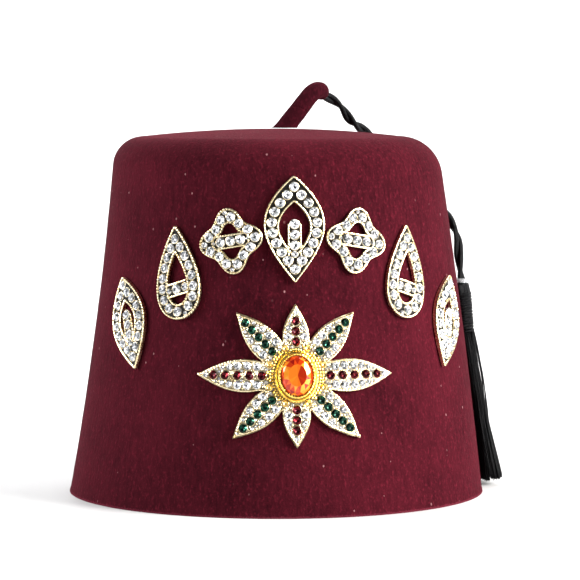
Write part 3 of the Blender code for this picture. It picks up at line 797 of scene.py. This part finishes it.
def make_stem(felt):
    """Rolled felt on a foot cut level with the top: a lapped seam along it and a crease across it."""
    foot = CROWN_HEIGHT + TOP_BULGE + CLEARANCE
    route = []
    for lean, back, rise in STEM_ROWS:
        route.append((STEM_BASE_OFFSET + lean * STEM_LEAN, back * STEM_BACK, foot + rise * STEM_HEIGHT))
    path = smooth_path(route[:1] + route[2:], STEM_STEP)
    frames = carried_frames(path, False)
    length = path_length(path)
    build = Build()
    rows = []
    for step, centre in enumerate(path):
        reach = length * step / (len(path) - 1)
        side, up = frames[step]
        along = side.cross(up)
        level = max(0.0, 1.0 - reach / STEM_FOOT_REACH) ** 2
        normal = along.lerp(Vector((0.0, 0.0, 1.0)), level).normalized()
        radius = STEM_RADIUS + (STEM_TIP_RADIUS - STEM_RADIUS) * reach / length
        radius += STEM_FLARE * math.exp(-reach / STEM_EASE)
        radius -= STEM_ROUNDING * math.exp(-(length - reach) / STEM_EASE)
        row = []
        for turn in turns(STEM_SIDES):
            lap = (turn - LAP_START - reach * LAP_SLANT) % (2.0 * math.pi)
            swell = 0.05 * math.exp(-lap * 1.5) - 0.06 * math.exp(-((lap - 6.1) / 0.14) ** 2)
            swell += 0.03 * noise.noise(Vector((math.cos(turn), math.sin(turn), reach * 300.0)))
            crease = (reach - CREASE_PLACE * length - CREASE_SLANT * math.cos(turn - 0.6)) / CREASE_WIDTH
            swell -= CREASE_DEPTH * math.exp(-crease ** 2) * (0.6 + 0.4 * math.sin(turn + 2.4))
            around = (side * math.cos(turn) + up * math.sin(turn)) * radius * (1.0 + swell)
            # Slid along the stem onto the row's own plane, level at the foot
            around -= along * (around.dot(normal) / along.dot(normal))
            row.append(build.add(centre + around))
        rows.append(row)
    for step, (lower, upper) in enumerate(zip(rows, rows[1:])):
        build.bridge(lower, upper, along=(step * STEM_STEP, (step + 1) * STEM_STEP))
    build.fan(rows[0][::-1], path[0])
    build.fan(rows[-1], path[-1])
    return build.object("stem_felt", [felt])


# Cord

def yarn_ridges(along, turn):
    return 1.0 + YARN_DEPTH * math.cos(YARNS * (turn - along * 2.0 * math.pi / YARN_PITCH))


def make_cord(thread):
    """Two plies laid round each other, each with its own yarns."""
    path = smooth_path(CORD_ROUTE, PLY_STEP)
    frames = carried_frames(path, False)
    build = Build()
    for ply in range(2):
        centres = []
        for step, (point, (side, up)) in enumerate(zip(path, frames)):
            turn = 2.0 * math.pi * (PLY_STEP * step) / PLY_PITCH + math.pi * ply + PLY_START
            centres.append(point + (side * math.cos(turn) + up * math.sin(turn)) * PLY_OFFSET)
        build.tube(centres, [PLY_RADIUS] * len(centres), PLY_SIDES, lobes=yarn_ridges)
    return build.object("twisted_cord", [thread]), path


def make_ring(look):
    low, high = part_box("tassel_ring")
    middle = (Vector(low) + Vector(high)) / 2.0
    reach = CORD_DIAMETER / 2.0 + CLEARANCE + RING_WIRE_RADIUS
    centres = []
    for turn in turns(RING_STEPS):
        across = middle.x + reach * math.cos(turn)
        centres.append(Vector((across, middle.y + reach * math.sin(turn), middle.z)))
    build = Build()
    build.tube(centres, [RING_WIRE_RADIUS] * RING_STEPS, RING_SIDES, closed=True)
    return build.object("clear_tassel_ring", [look])


# Tassel

def tassel_section(share):
    """Half width and depth of the tassel this share of the way up from its free end."""
    for upper, lower in zip(TASSEL_SECTIONS, TASSEL_SECTIONS[1:]):
        if share >= lower[0]:
            blend = (share - lower[0]) / (upper[0] - lower[0])
            return (lower[1] + (upper[1] - lower[1]) * blend, lower[2] + (upper[2] - lower[2]) * blend)
    return TASSEL_SECTIONS[-1][1:]


def in_tassel(share, turn, spread):
    """A point of the tassel: share of its height, turn about its middle, share of the way out."""
    half_width, depth = tassel_section(share)
    height = TASSEL_FLOOR_GAP + TASSEL_LENGTH * share
    along = half_width * spread * math.cos(turn)
    lift = TASSEL_WALL_GAP + depth / 2.0 * (1.0 + spread * math.sin(turn))
    return on_wall(TASSEL_ANGLE + along / mean_radius(height, TASSEL_ANGLE), height, lift)


def make_tassel_body(thread):
    """Knotted head, wound neck and the dark heart of the skirt."""
    build = Build()
    rows = []
    shares = [1.0 - 0.004 * step for step in range(10)] + [0.96 - 0.025 * step for step in range(38)]
    for share in shares:
        spread = HEAD_SPREAD if share > NECK_FOOT else HEART_SPREAD
        row = []
        for turn in turns(HEAD_SIDES):
            rib = 1.0 + 0.05 * math.cos(-turn * 11.0 + share * 30.0)
            row.append(build.add(in_tassel(share, -turn, spread * rib)))
        rows.append(row)
    for upper, lower in zip(rows, rows[1:]):
        build.bridge(upper, lower, along=(0.0, 0.004))
    build.fan(rows[0][::-1], in_tassel(1.0, 0.0, 0.0))
    build.fan(rows[-1], in_tassel(shares[-1], 0.0, 0.0))
    for wrap in range(NECK_WRAPS):
        share = NECK_TOP + (NECK_FOOT - NECK_TOP) * wrap / (NECK_WRAPS - 1)
        centres = []
        for turn in turns(WRAP_STEPS):
            lean = 0.004 * math.sin(turn + wrap)
            centres.append(in_tassel(share + lean, turn, 0.98))
        build.tube(centres, [WRAP_RADIUS] * WRAP_STEPS, 7, closed=True)
    return build.object("tassel_head", [thread])


def make_strands(thread):
    """The skirt: fine threads gathered into locks, each with its own length and waver."""
    build = Build()
    dice = random.Random(11)
    for _ in range(STRANDS):
        lock = dice.randrange(LOCKS)
        lock_turn = 2.0 * math.pi * (lock + 0.5) / LOCKS
        turn = lock_turn + dice.gauss(0.0, 0.14)
        spread = 1.0 - abs(dice.gauss(0.0, 0.20))
        spread = max(0.15, min(1.0, spread))
        end = 0.012 * dice.random() + 0.010 * (0.5 + 0.5 * math.sin(2.4 * lock))
        waver = dice.uniform(0.02, 0.09)
        phase = dice.uniform(0.0, 6.3)
        beat = dice.uniform(5.0, 11.0)
        centres = []
        for step in range(STRAND_STEPS + 1):
            share = NECK_FOOT + STRAND_TUCK + (end - NECK_FOOT - STRAND_TUCK) * step / STRAND_STEPS
            drift = waver * math.sin(beat * (1.0 - share) + phase) * (1.0 - share)
            gather = 1.0 if step else 0.85
            point = in_tassel(share, turn + drift, spread * gather * (1.0 + 0.3 * drift))
            point.z = max(point.z, TASSEL_FLOOR_GAP * 0.6)
            centres.append(point)
        build.tube(centres, [STRAND_RADIUS] * STRAND_STEPS + [STRAND_RADIUS * 0.7], 4)
    return build.object("tassel_strands", [thread])


def make_stray_strands(thread):
    """A few loose threads that stand off the skirt."""
    build = Build()
    for turn, stand_off, end in STRAY_STRANDS:
        centres = []
        for step in range(STRAY_STEPS + 1):
            along = step / STRAY_STEPS
            share = NECK_FOOT + (end - NECK_FOOT) * along
            rim = in_tassel(share, turn, 1.0)
            beyond = in_tassel(share, turn, 1.3) - rim
            bow = stand_off * math.sin(math.pi * min(1.0, along * 1.25)) ** 0.8 if along < 0.8 else 0.0
            centres.append(rim + beyond.normalized() * bow)
        path = smooth_path(centres, STRAY_SPACING)
        build.tube(path, [STRAND_RADIUS * 1.15] * len(path), 6)
    return build.object("tassel_stray_strands", [thread])


# Ornament outlines, flat

def leaf_outline(height, width, steps):
    half = []
    for index in range(steps + 1):
        share = index / steps
        across = width / 2.0 * math.sin(math.pi * share ** 1.15) ** 0.85
        half.append(Vector((across, height * (share - 0.5))))
    other = [Vector((-point.x, point.y)) for point in reversed(half[1:-1])]
    return half + other


def lobed_outline(width, steps):
    mean = width / 2.0 / (1.0 + LOBE_DEPTH_SHARE)
    points = []
    for angle in turns(steps):
        reach = mean * (1.0 + LOBE_DEPTH_SHARE * math.cos(4.0 * angle))
        points.append(Vector((reach * math.cos(angle), reach * math.sin(angle))))
    return points


def drop_outline(height, width, middle, steps):
    points = []
    for turn in turns(steps):
        across = width * 0.60 * math.sin(turn) * math.sin(turn / 2.0) ** 0.9
        points.append(Vector((across, middle + height / 2.0 * math.cos(turn))))
    return points


def bent(points, height, bend):
    return [Vector((spot.x + bend * (spot.y / height + 0.5) ** 2, spot.y)) for spot in points]


def leaf_size(kind):
    if kind == "centre_leaf":
        return CENTRE_LEAF_HEIGHT, CENTRE_LEAF_WIDTH
    return END_LEAF_HEIGHT, END_LEAF_WIDTH


def motif_outlines(kind, side, fineness=1):
    """Outer and inner edge of a motif's channel, with more points than the solids where asked."""
    if kind == "lobes":
        steps = 20 * fineness
        return lobed_outline(LOBES_WIDTH, steps), lobed_outline(LOBES_WIDTH - 2.0 * CHANNEL_WIDTH, steps)
    if kind == "drop":
        tip_reach = POINT_SHARE * CHANNEL_WIDTH
        hole_height = DROP_HEIGHT - CHANNEL_WIDTH - tip_reach
        outer = drop_outline(DROP_HEIGHT, DROP_WIDTH, 0.0, 20 * fineness)
        hole_width = DROP_WIDTH - 2.0 * CHANNEL_WIDTH
        inner = drop_outline(hole_height, hole_width, (CHANNEL_WIDTH - tip_reach) / 2.0, 20 * fineness)
        bend = -side * DROP_BEND
        return bent(outer, DROP_HEIGHT, bend), bent(inner, DROP_HEIGHT, bend)
    height, width = leaf_size(kind)
    outer = leaf_outline(height, width, 10 * fineness)
    hole_height = height - 2.0 * POINT_SHARE * CHANNEL_WIDTH
    inner = leaf_outline(hole_height, width - 2.0 * CHANNEL_WIDTH, 10 * fineness)
    return outer, inner


def motif_bar(kind):
    if kind == "lobes":
        reach = LOBES_WIDTH / 2.0 - CHANNEL_WIDTH
        return Vector((-reach, 0.0)), Vector((reach, 0.0)), [Vector((0.0, 0.0))]
    if kind == "drop":
        reach = DROP_WIDTH / 2.0 - CHANNEL_WIDTH
        low = -0.17 * DROP_HEIGHT
        return Vector((-reach, low)), Vector((reach, low)), [Vector((0.0, low))]
    foot = CHANNEL_WIDTH - leaf_size(kind)[0] / 2.0
    seats = [Vector((0.0, foot + STONE_PITCH * step)) for step in range(1, 5)]
    return Vector((0.0, foot)), Vector((0.0, foot + STONE_PITCH * 4.0)), seats


def walked(points, pitch):
    """Places both ways round a flat closed path from its first point, a pitch or more from each other."""
    spots = []
    for first, second in zip(points, points[1:] + points[:1]):
        spots += [first.lerp(second, step / WALK_STEPS) for step in range(WALK_STEPS)]
    places = []
    for index in range(len(spots)):
        turn = (index + 1) // 2
        spot = spots[turn if index % 2 else -turn]
        if all((spot - taken).length >= pitch for taken in places):
            places.append(spot)
    return places


def packed(points):
    """The fullest row of stones round a closed path, as evenly spread as it allows."""
    best = []
    for step in range(PITCH_STEPS + 1):
        pitch = STONE_PITCH + PITCH_PLAY * (2.0 * step / PITCH_STEPS - 1.0)
        places = walked(points, max(pitch, STONE_DIAMETER + STONE_GAP))
        if len(places) >= len(best):
            best = places
    return best


def add_seat(seats, place, diameter, kind):
    for taken, size, _ in seats:
        if (place - taken).length < (diameter + size) / 2.0 + STONE_GAP:
            return
    seats.append((place, diameter, kind))


def arc_middle_height():
    return edge_start(math.pi / 2.0) + ARC_EDGE_GAP - CENTRE_LEAF_HEIGHT / 2.0


def rosette_heights():
    top = arc_middle_height() - CENTRE_LEAF_HEIGHT / 2.0 - ROSETTE_GAP
    return (top + ROSETTE_BOTTOM) / 2.0, (top - ROSETTE_BOTTOM) / 2.0


# Ornament pieces: slots of their meshes
GOLD, DARK, CLEAR, GREEN, RED, HONEY, GROUND, RICH, CULET = range(9)


class Ornament(Build):
    """A flat ornament that is bent onto the wall as its points are added."""

    def __init__(self, angle, height, tilt):
        super().__init__()
        self.angle = angle
        self.height = height
        self.turn = Matrix.Rotation(tilt, 2)
        self.radius = mean_radius(height, angle)

    def spot(self, flat, lift):
        """The point of the wall for a flat point and a lift off the felt."""
        place = self.turn @ Vector((flat.x, flat.y))
        return on_wall(self.angle + place.x / self.radius, self.height + place.y, lift)

    def row(self, flat_points, lift):
        return [self.add(self.spot(point, lift)) for point in flat_points]

    def wire(self, flat_path, lift, radius, closed, slot=GOLD):
        """A twisted wire along a flat path."""
        path = smooth_path([Vector((spot.x, spot.y, 0.0)) for spot in flat_path], WIRE_STEP, closed)
        centres = [self.spot(point, lift) for point in path]

        def lobes(along, turn):
            return 1.0 + 0.22 * math.cos(2.0 * (turn - 2.0 * math.pi * along / (2.0 * WIRE_TWIST)))

        self.tube(centres, [radius] * len(centres), WIRE_SIDES, slot, closed, lobes)

    def plate(self, outer, inner, bottom, top):
        """The channel's floor between two outlines, its rims in gold."""
        edges = ((outer, bottom), (outer, top), (inner, top), (inner, bottom))
        rows = [self.row(outline, lift) for outline, lift in edges]
        for index, slot in enumerate((GOLD, DARK, GOLD, DARK)):
            self.bridge(rows[index], rows[(index + 1) % 4], slot)

    def grain(self, flat, lift, radius, slot=GOLD):
        """A small ball of metal."""
        centre = self.spot(flat, lift)
        rows = []
        for step in range(1, 4):
            rise = math.pi * step / 4
            reach = radius * math.sin(rise)
            level = radius * math.cos(rise)
            row = []
            for turn in turns(8):
                row.append(self.add(centre + Vector((reach * math.cos(turn), reach * math.sin(turn), level))))
            rows.append(row)
        for upper, lower in zip(rows, rows[1:]):
            self.bridge(lower, upper, slot)
        self.fan(rows[0], centre + Vector((0.0, 0.0, radius)), slot)
        self.fan(rows[-1][::-1], centre - Vector((0.0, 0.0, radius)), slot)

    def stone(self, flat, diameter, lift, slot, turn):
        """A cut stone: girdle, kite facets, table with the star of its back showing, in a thin cup; a clear
        stone's star takes the darker culet finish, a painted dark reflection.
        """
        radius = diameter / 2.0
        rise = 0.42 * radius + 0.00035

        def ring(count, share, level, shift):
            reach = radius * share
            points = []
            for angle in turns(count, shift):
                across = flat.x + reach * math.cos(turn + angle)
                points.append(Vector((across, flat.y + reach * math.sin(turn + angle))))
            return self.row(points, lift + level)

        cup = ring(16, 1.0, -0.0005, 0.0)
        rim = ring(16, 1.0, 0.20 * rise, 0.0)
        girdle = ring(16, 0.93, 0.26 * rise, 0.0)
        kites = ring(8, 0.76, 0.66 * rise, 0.25)
        table = ring(8, 0.54, rise, -0.25)
        self.bridge(cup, rim, GOLD if slot == HONEY else CLEAR)
        self.bridge(rim, girdle, GOLD)
        for index in range(8):
            first = girdle[2 * index]
            second = girdle[(2 * index + 1) % 16]
            third = girdle[(2 * index + 2) % 16]
            after = (index + 1) % 8
            self.face((first, second, kites[index]), slot)
            self.face((second, third, kites[index]), slot)
            self.face((third, kites[after], kites[index]), slot)
            self.face((kites[index], kites[after], table[after]), slot)
            self.face((kites[index], table[after], table[index]), slot)
        star = ring(8, 0.24, 0.72 * rise, 0.25)
        for index in range(8):
            after = (index + 1) % 8
            self.face((table[index], table[after], star[index]), slot)
            self.face((table[after], star[after], star[index]), slot)
        # Painted dark reflection: a clear stone's middle star takes the darker culet finish
        self.fan(star, self.spot(flat, lift + 0.55 * rise), CULET if slot == CLEAR else slot)


def shifted(points, others, distance):
    """Each point moved this far towards its partner."""
    return [point + (other - point).normalized() * distance for point, other in zip(points, others)]


def make_motif(name, kind, place, looks):
    """A channel motif of the arc with its twisted borders, dark floor and row of stones."""
    slope = -2.0 * ARC_DROP * place / ARC_HALF_WIDTH
    height = arc_middle_height() - ARC_DROP * place ** 2
    middle_radius = mean_radius(CROWN_HEIGHT / 2.0, 0.0)
    piece = Ornament(place * ARC_HALF_WIDTH / middle_radius, height, ARC_TILT_SHARE * math.atan(slope))
    side = 1.0 if place > 0.0 else -1.0
    top = CLEARANCE + PLATE_THICKNESS
    outer, inner = motif_outlines(kind, side, 4)
    piece.plate(outer, inner, CLEARANCE, top - PLATE_SINK)
    piece.wire(shifted(outer, inner, WIRE_INSET), top, WIRE_RADIUS, True)
    piece.wire(shifted(inner, outer, WIRE_INSET), top, WIRE_RADIUS, True)
    rough_outer, rough_inner = motif_outlines(kind, side)
    line = [(far + near) / 2.0 for far, near in zip(rough_outer, rough_inner)]
    seats = []
    for seat in packed(line):
        add_seat(seats, seat, STONE_DIAMETER, CLEAR)
    start, end, bar_seats = motif_bar(kind)
    along = (end - start).normalized()
    across = Vector((-along.y, along.x))
    half = (STONE_DIAMETER + BAR_MARGIN) / 2.0
    line = [start.lerp(end, step / BAR_EDGE_STEPS) for step in range(BAR_EDGE_STEPS + 1)]
    left = [spot + across * half for spot in line]
    right = [spot - across * half for spot in line]
    rim = left + right[::-1]
    middle = [spot.lerp(other, 0.5) for spot, other in zip(rim, right + left[::-1])]
    piece.plate(rim, middle, CLEARANCE, top - PLATE_SINK)
    for edge in (left, right):
        piece.wire(edge, top - 0.0001, WIRE_RADIUS * 0.9, False)
    for seat in bar_seats:
        add_seat(seats, seat, STONE_DIAMETER, CLEAR)
    for diameter in MOTIF_FILLERS:
        for step in sorted(range(BAR_STEPS + 1), key=lambda step: abs(step - BAR_STEPS / 2.0)):
            add_seat(seats, start.lerp(end, step / BAR_STEPS), diameter, CLEAR)
        for far, near in zip(outer, inner):
            room = (far - near).length
            for share in CHANNEL_PLACES:
                spot = far.lerp(near, share)
                clear = min(share, 1.0 - share) * room
                clear = min([clear] + [(spot - edge).length for edge in outer + inner])
                if clear >= diameter / 2.0 + FILLER_MARGIN:
                    add_seat(seats, spot, diameter, CLEAR)
    dice = random.Random(len(name) + ord(name[-1]))
    for seat, diameter, slot in seats:
        piece.stone(seat, diameter, top, slot, dice.uniform(0.0, STONE_TURN))
    made = piece.object(name + "_finish", looks, sharp=FACET_SHARP)
    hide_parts(name)
    return made


# Rosette

def petal_frame(index):
    angle = 2.0 * math.pi * index / PETALS
    direction = Vector((math.cos(angle), math.sin(angle)))
    tip = math.hypot(ROSETTE_WIDTH / 2.0 * direction.x, rosette_heights()[1] * direction.y)
    return direction, NOTCH_RADIUS * math.cos(math.pi / PETALS), tip


def petal_half_width(index, share):
    _, base, tip = petal_frame(index)
    belly = PETAL_BELLY * (tip - base) / (ROSETTE_WIDTH / 2.0 - base)
    foot = NOTCH_RADIUS * math.sin(math.pi / PETALS)
    return foot * (1.0 - share) + belly * math.sin(math.pi * max(0.0, share) ** PETAL_FULLNESS)


def petal_place(index, share, across, inset=0.0):
    direction, base, tip = petal_frame(index)
    side = Vector((-direction.y, direction.x))
    wide = max(0.0, petal_half_width(index, share) - inset)
    reach = base + (tip - inset * 1.6 - base) * share
    return direction * reach + side * wide * across


def petal_notches():
    return [petal_place(index, 0.0, 1.0) for index in range(PETALS)]


def petal_room(index, along, across, notches):
    """How far a place in a petal is from the petal's edge and the notches beside it."""
    spot = petal_place(index, along, across)
    room = petal_half_width(index, along) * (1.0 - abs(across))
    tip = (petal_place(index, 1.0, 0.0) - spot).length * 0.5
    return spot, min([room, tip] + [(spot - notch).length for notch in notches])


def rosette_seats():
    """The solids' stones, then smaller ones that fill the petals up to their border."""
    seats = []
    notches = petal_notches()
    for index in range(PETALS):
        accent = GREEN if index % 2 else RED
        for across, start, end, diameter in PETAL_LINES:
            for step in range(WALK_STEPS + 1):
                along = start + (end - start) * step / WALK_STEPS
                spot, room = petal_room(index, along, across, notches)
                if room >= diameter / 2.0 + STONE_MARGIN:
                    add_seat(seats, spot, diameter, CLEAR if across else accent)
        turn = 2.0 * math.pi * (index + 0.5) / PETALS
        between = Vector((math.cos(turn), math.sin(turn)))
        add_seat(seats, between * (NOTCH_RADIUS - NOTCH_STONE / 2.0 - BAR_MARGIN), NOTCH_STONE, HONEY)
    hub = MAIN_STONE_HEIGHT / 2.0 + 2.0 * BEZEL_WIDTH
    for diameter in FILLERS:
        for index in range(PETALS):
            for step in range(1, PETAL_STEPS + 1):
                for across in PETAL_PLACES:
                    spot, room = petal_room(index, step / PETAL_STEPS - PETAL_FOOT, across, notches)
                    if spot.length > hub + diameter / 2.0 and room >= diameter / 2.0 + FILLER_MARGIN:
                        add_seat(seats, spot, diameter, CLEAR)
    return seats


def rosette_prongs(seats):
    """Places for small grains of metal between the petals' stones."""
    prongs = []
    notches = petal_notches()
    for index in range(PETALS):
        for step in range(PRONG_STEPS + 1):
            for line in range(1 - PRONG_LINES, PRONG_LINES):
                along = step / PRONG_STEPS - PETAL_FOOT
                spot, room = petal_room(index, along, line / PRONG_LINES, notches)
                free = all((spot - seat).length > size / 2.0 + PRONG_RADIUS * 0.7 for seat, size, _ in seats)
                apart = all((spot - taken).length > 2.0 * PRONG_RADIUS for taken in prongs)
                if free and apart and room > PRONG_MARGIN and spot.length > NOTCH_RADIUS - GRAIN_EDGE:
                    prongs.append(spot)
    return prongs


def rosette_outline(inset):
    """The rosette's whole edge, this far inside it."""
    points = []
    for index in range(PETALS):
        for step in range(OUTLINE_STEPS):
            points.append(petal_place(index, step / OUTLINE_STEPS, -1.0, inset))
        points.append(petal_place(index, 1.0, 0.0, inset))
        for step in range(OUTLINE_STEPS - 1, 0, -1):
            points.append(petal_place(index, step / OUTLINE_STEPS, 1.0, inset))
    return points


def make_rosette(looks):
    """Eight petals of pavé stones with coloured middles, a granulated hub and the main stone's bezel."""
    piece = Ornament(0.0, rosette_heights()[0], 0.0)
    top = CLEARANCE + PLATE_THICKNESS
    middle = Vector((0.0, 0.0))
    outline = rosette_outline(0.0)
    levels = [piece.row([spot * share for spot in outline], top - PLATE_SINK) for share in GROUND_RINGS]
    low = piece.row(outline, CLEARANCE)
    piece.bridge(low, levels[0], GOLD)
    piece.skin(levels, GROUND)
    piece.fan(levels[-1], piece.spot(middle, top - PLATE_SINK), GROUND)
    piece.fan(low[::-1], piece.spot(middle, CLEARANCE), DARK)
    piece.wire(rosette_outline(WIRE_INSET), top, WIRE_RADIUS, True)
    seats = rosette_seats()
    dice = random.Random(8)
    for seat, diameter, slot in seats:
        piece.stone(seat, diameter, top, slot, dice.uniform(0.0, STONE_TURN))
    seat_width = MAIN_STONE_WIDTH / 2.0 + CLEARANCE
    seat_height = MAIN_STONE_HEIGHT / 2.0 + CLEARANCE
    for grow, radius, lift in BEZEL_WIRES:
        ring = oval(seat_width + grow * BEZEL_WIDTH, seat_height + grow * BEZEL_WIDTH, BEZEL_SIDES)
        piece.wire(ring, top + BEZEL_RISE * lift, radius, True, RICH)
    inner = oval(seat_width, seat_height, BEZEL_SIDES)
    outer = oval(seat_width + 0.5 * BEZEL_WIDTH, seat_height + 0.5 * BEZEL_WIDTH, BEZEL_SIDES)
    rims = ((outer, -PLATE_SINK), (outer, BEZEL_RISE), (inner, BEZEL_RISE), (inner, -PLATE_SINK))
    rows = [piece.row(ring, top + lift) for ring, lift in rims]
    piece.skin(rows, RICH)
    for spot in rosette_prongs(seats):
        piece.grain(spot, top, PRONG_RADIUS)
    for ring in range(GRAIN_RINGS):
        grow = BEZEL_WIDTH + GRAIN_RADIUS * (1.1 + 1.9 * ring)
        count = round(2.0 * math.pi * (seat_width + grow + 0.0008) / (2.1 * GRAIN_RADIUS))
        for spot in oval(seat_width + grow, seat_height + grow, count):
            free = all((spot - seat).length > size / 2.0 + GRAIN_RADIUS * 0.8 for seat, size, _ in seats)
            if free and spot.length < NOTCH_RADIUS - GRAIN_EDGE:
                piece.grain(spot, top + GRAIN_RADIUS * 0.35, GRAIN_RADIUS, RICH)
    made = piece.object("rosette_finish", looks, sharp=FACET_SHARP)
    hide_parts("rosette")
    return made


def oval(half_width, half_height, sides):
    return [Vector((half_width * math.cos(turn), half_height * math.sin(turn))) for turn in turns(sides)]


def make_main_stone(amber, foil):
    """The oval stone with brilliant facets over a gold foil."""
    piece = Ornament(0.0, rosette_heights()[0], 0.0)
    foot = CLEARANCE + PLATE_THICKNESS + CLEARANCE
    sides = MAIN_STONE_SIDES
    rings = []
    for spread, rise, shift in MAIN_STONE_ROWS:
        points = []
        for turn in turns(sides, shift):
            across = MAIN_STONE_WIDTH / 2.0 * spread * math.cos(turn)
            points.append(Vector((across, MAIN_STONE_HEIGHT / 2.0 * spread * math.sin(turn))))
        rings.append(piece.row(points, foot + MAIN_STONE_RISE * rise))
    piece.bridge(rings[0], rings[1])
    for index in range(sides):
        after = (index + 1) % sides
        piece.face((rings[1][index], rings[1][after], rings[2][index]))
        piece.face((rings[1][after], rings[2][after], rings[2][index]))
        piece.face((rings[2][index], rings[3][after], rings[3][index]))
        piece.face((rings[2][index], rings[2][after], rings[3][after]))
    piece.fan(rings[3], piece.spot(Vector((0.0, 0.0)), foot + MAIN_STONE_RISE))
    centre = piece.add(piece.spot(Vector((0.0, 0.0)), foot + 0.0001))
    for index in range(sides):
        piece.face((rings[0][(index + 1) % sides], rings[0][index], centre), 1)
    made = piece.object("amber_main_stone", [amber, foil], smooth=False)
    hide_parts("centre_stone")
    return made


# Studio

def make_studio():
    floor = bpy.data.meshes.new("floor")
    rows = []
    points = []
    faces = []
    profile = [(FLOOR_FRONT, 0.0), (SWEEP_START, 0.0)]
    for step in range(1, SWEEP_STEPS + 1):
        turn = math.pi / 2.0 * step / SWEEP_STEPS
        rise = SWEEP_RADIUS - SWEEP_RADIUS * math.cos(turn)
        profile.append((SWEEP_START + SWEEP_RADIUS * math.sin(turn), rise))
    profile.append((SWEEP_START + SWEEP_RADIUS, BACKDROP_HEIGHT))
    for y, z in profile:
        rows.append(len(points))
        points += [(-FLOOR_HALF_WIDTH, y, z), (FLOOR_HALF_WIDTH, y, z)]
    for first, second in zip(rows, rows[1:]):
        faces.append((first, first + 1, second + 1, second))
    floor.from_pydata(points, [], faces)
    floor.shade_smooth()
    floor.materials.append(floor_look())
    made = bpy.data.objects.new("studio_floor", floor)
    bpy.context.scene.collection.objects.link(made)


def add_light(name, place, aim, size, power, colour):
    light = bpy.data.lights.new(name, "AREA")
    light.shape = "RECTANGLE"
    light.size = size[0]
    light.size_y = size[1]
    light.energy = power
    light.color = colour
    made = bpy.data.objects.new(name, light)
    made.location = place
    made.rotation_euler = (Vector(aim) - Vector(place)).to_track_quat("-Z", "Y").to_euler()
    bpy.context.scene.collection.objects.link(made)


def make_lights():
    for light in LIGHTS:
        add_light(*light)
    world = bpy.data.worlds.new("studio")
    bpy.context.scene.world = world
    world.use_nodes = True
    background = world.node_tree.nodes["Background"]
    background.inputs["Color"].default_value = SURROUND_COLOUR
    background.inputs["Strength"].default_value = SURROUND_STRENGTH


def make_camera():
    camera = bpy.data.cameras.new("camera")
    camera.lens = CAMERA_LENS
    camera.sensor_width = 36.0
    camera.clip_end = 20.0
    made = bpy.data.objects.new("camera", camera)
    right = Vector((math.cos(CAMERA_AZIMUTH), math.sin(CAMERA_AZIMUTH), 0.0))
    back = Vector((math.sin(CAMERA_AZIMUTH), -math.cos(CAMERA_AZIMUTH), 0.0))
    made.location = back * CAMERA_DISTANCE + Vector((0.0, 0.0, EYE_HEIGHT))
    aim = right * AIM_SIDE + Vector((0.0, 0.0, AIM_HEIGHT))
    made.rotation_euler = (aim - made.location).to_track_quat("-Z", "Y").to_euler()
    bpy.context.scene.collection.objects.link(made)
    bpy.context.scene.camera = made


def ride_all(*made):
    for piece in made:
        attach(piece, "root")


def main():
    bpy.context.scene.view_settings.view_transform = "Standard"
    make_camera()
    make_studio()
    make_lights()
    felt, stem_felt, fuzz = [felt_look(name, *values) for name, values in FELTS.items()]
    thread = thread_look("black_rayon")
    gold, ground, rich = [gold_look(name, *values) for name, values in METALS.items()]
    clear, green, red, honey, culet, amber = [crystal_look(name, *values) for name, values in STONES.items()]
    looks = [gold, dark_look(), clear, green, red, honey, ground, rich, culet]

    cord, path = make_cord(thread)
    crown = make_crown(felt)
    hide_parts("crown")
    stem = make_stem(stem_felt)
    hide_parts("stem")
    ring = make_ring(ring_look())
    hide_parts("tassel_ring")
    head = make_tassel_body(thread)
    strands = make_strands(thread)
    stray = make_stray_strands(thread)
    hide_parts("tassel")
    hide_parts("tassel_cord")
    fibres = make_fuzz(fuzz)
    ride_all(crown, stem, ring, head, strands, stray, cord, fibres)
    for name, kind, place in MOTIFS:
        ride_all(make_motif(name, kind, place, looks))
    ride_all(make_rosette(looks), make_main_stone(amber, gold))


main()
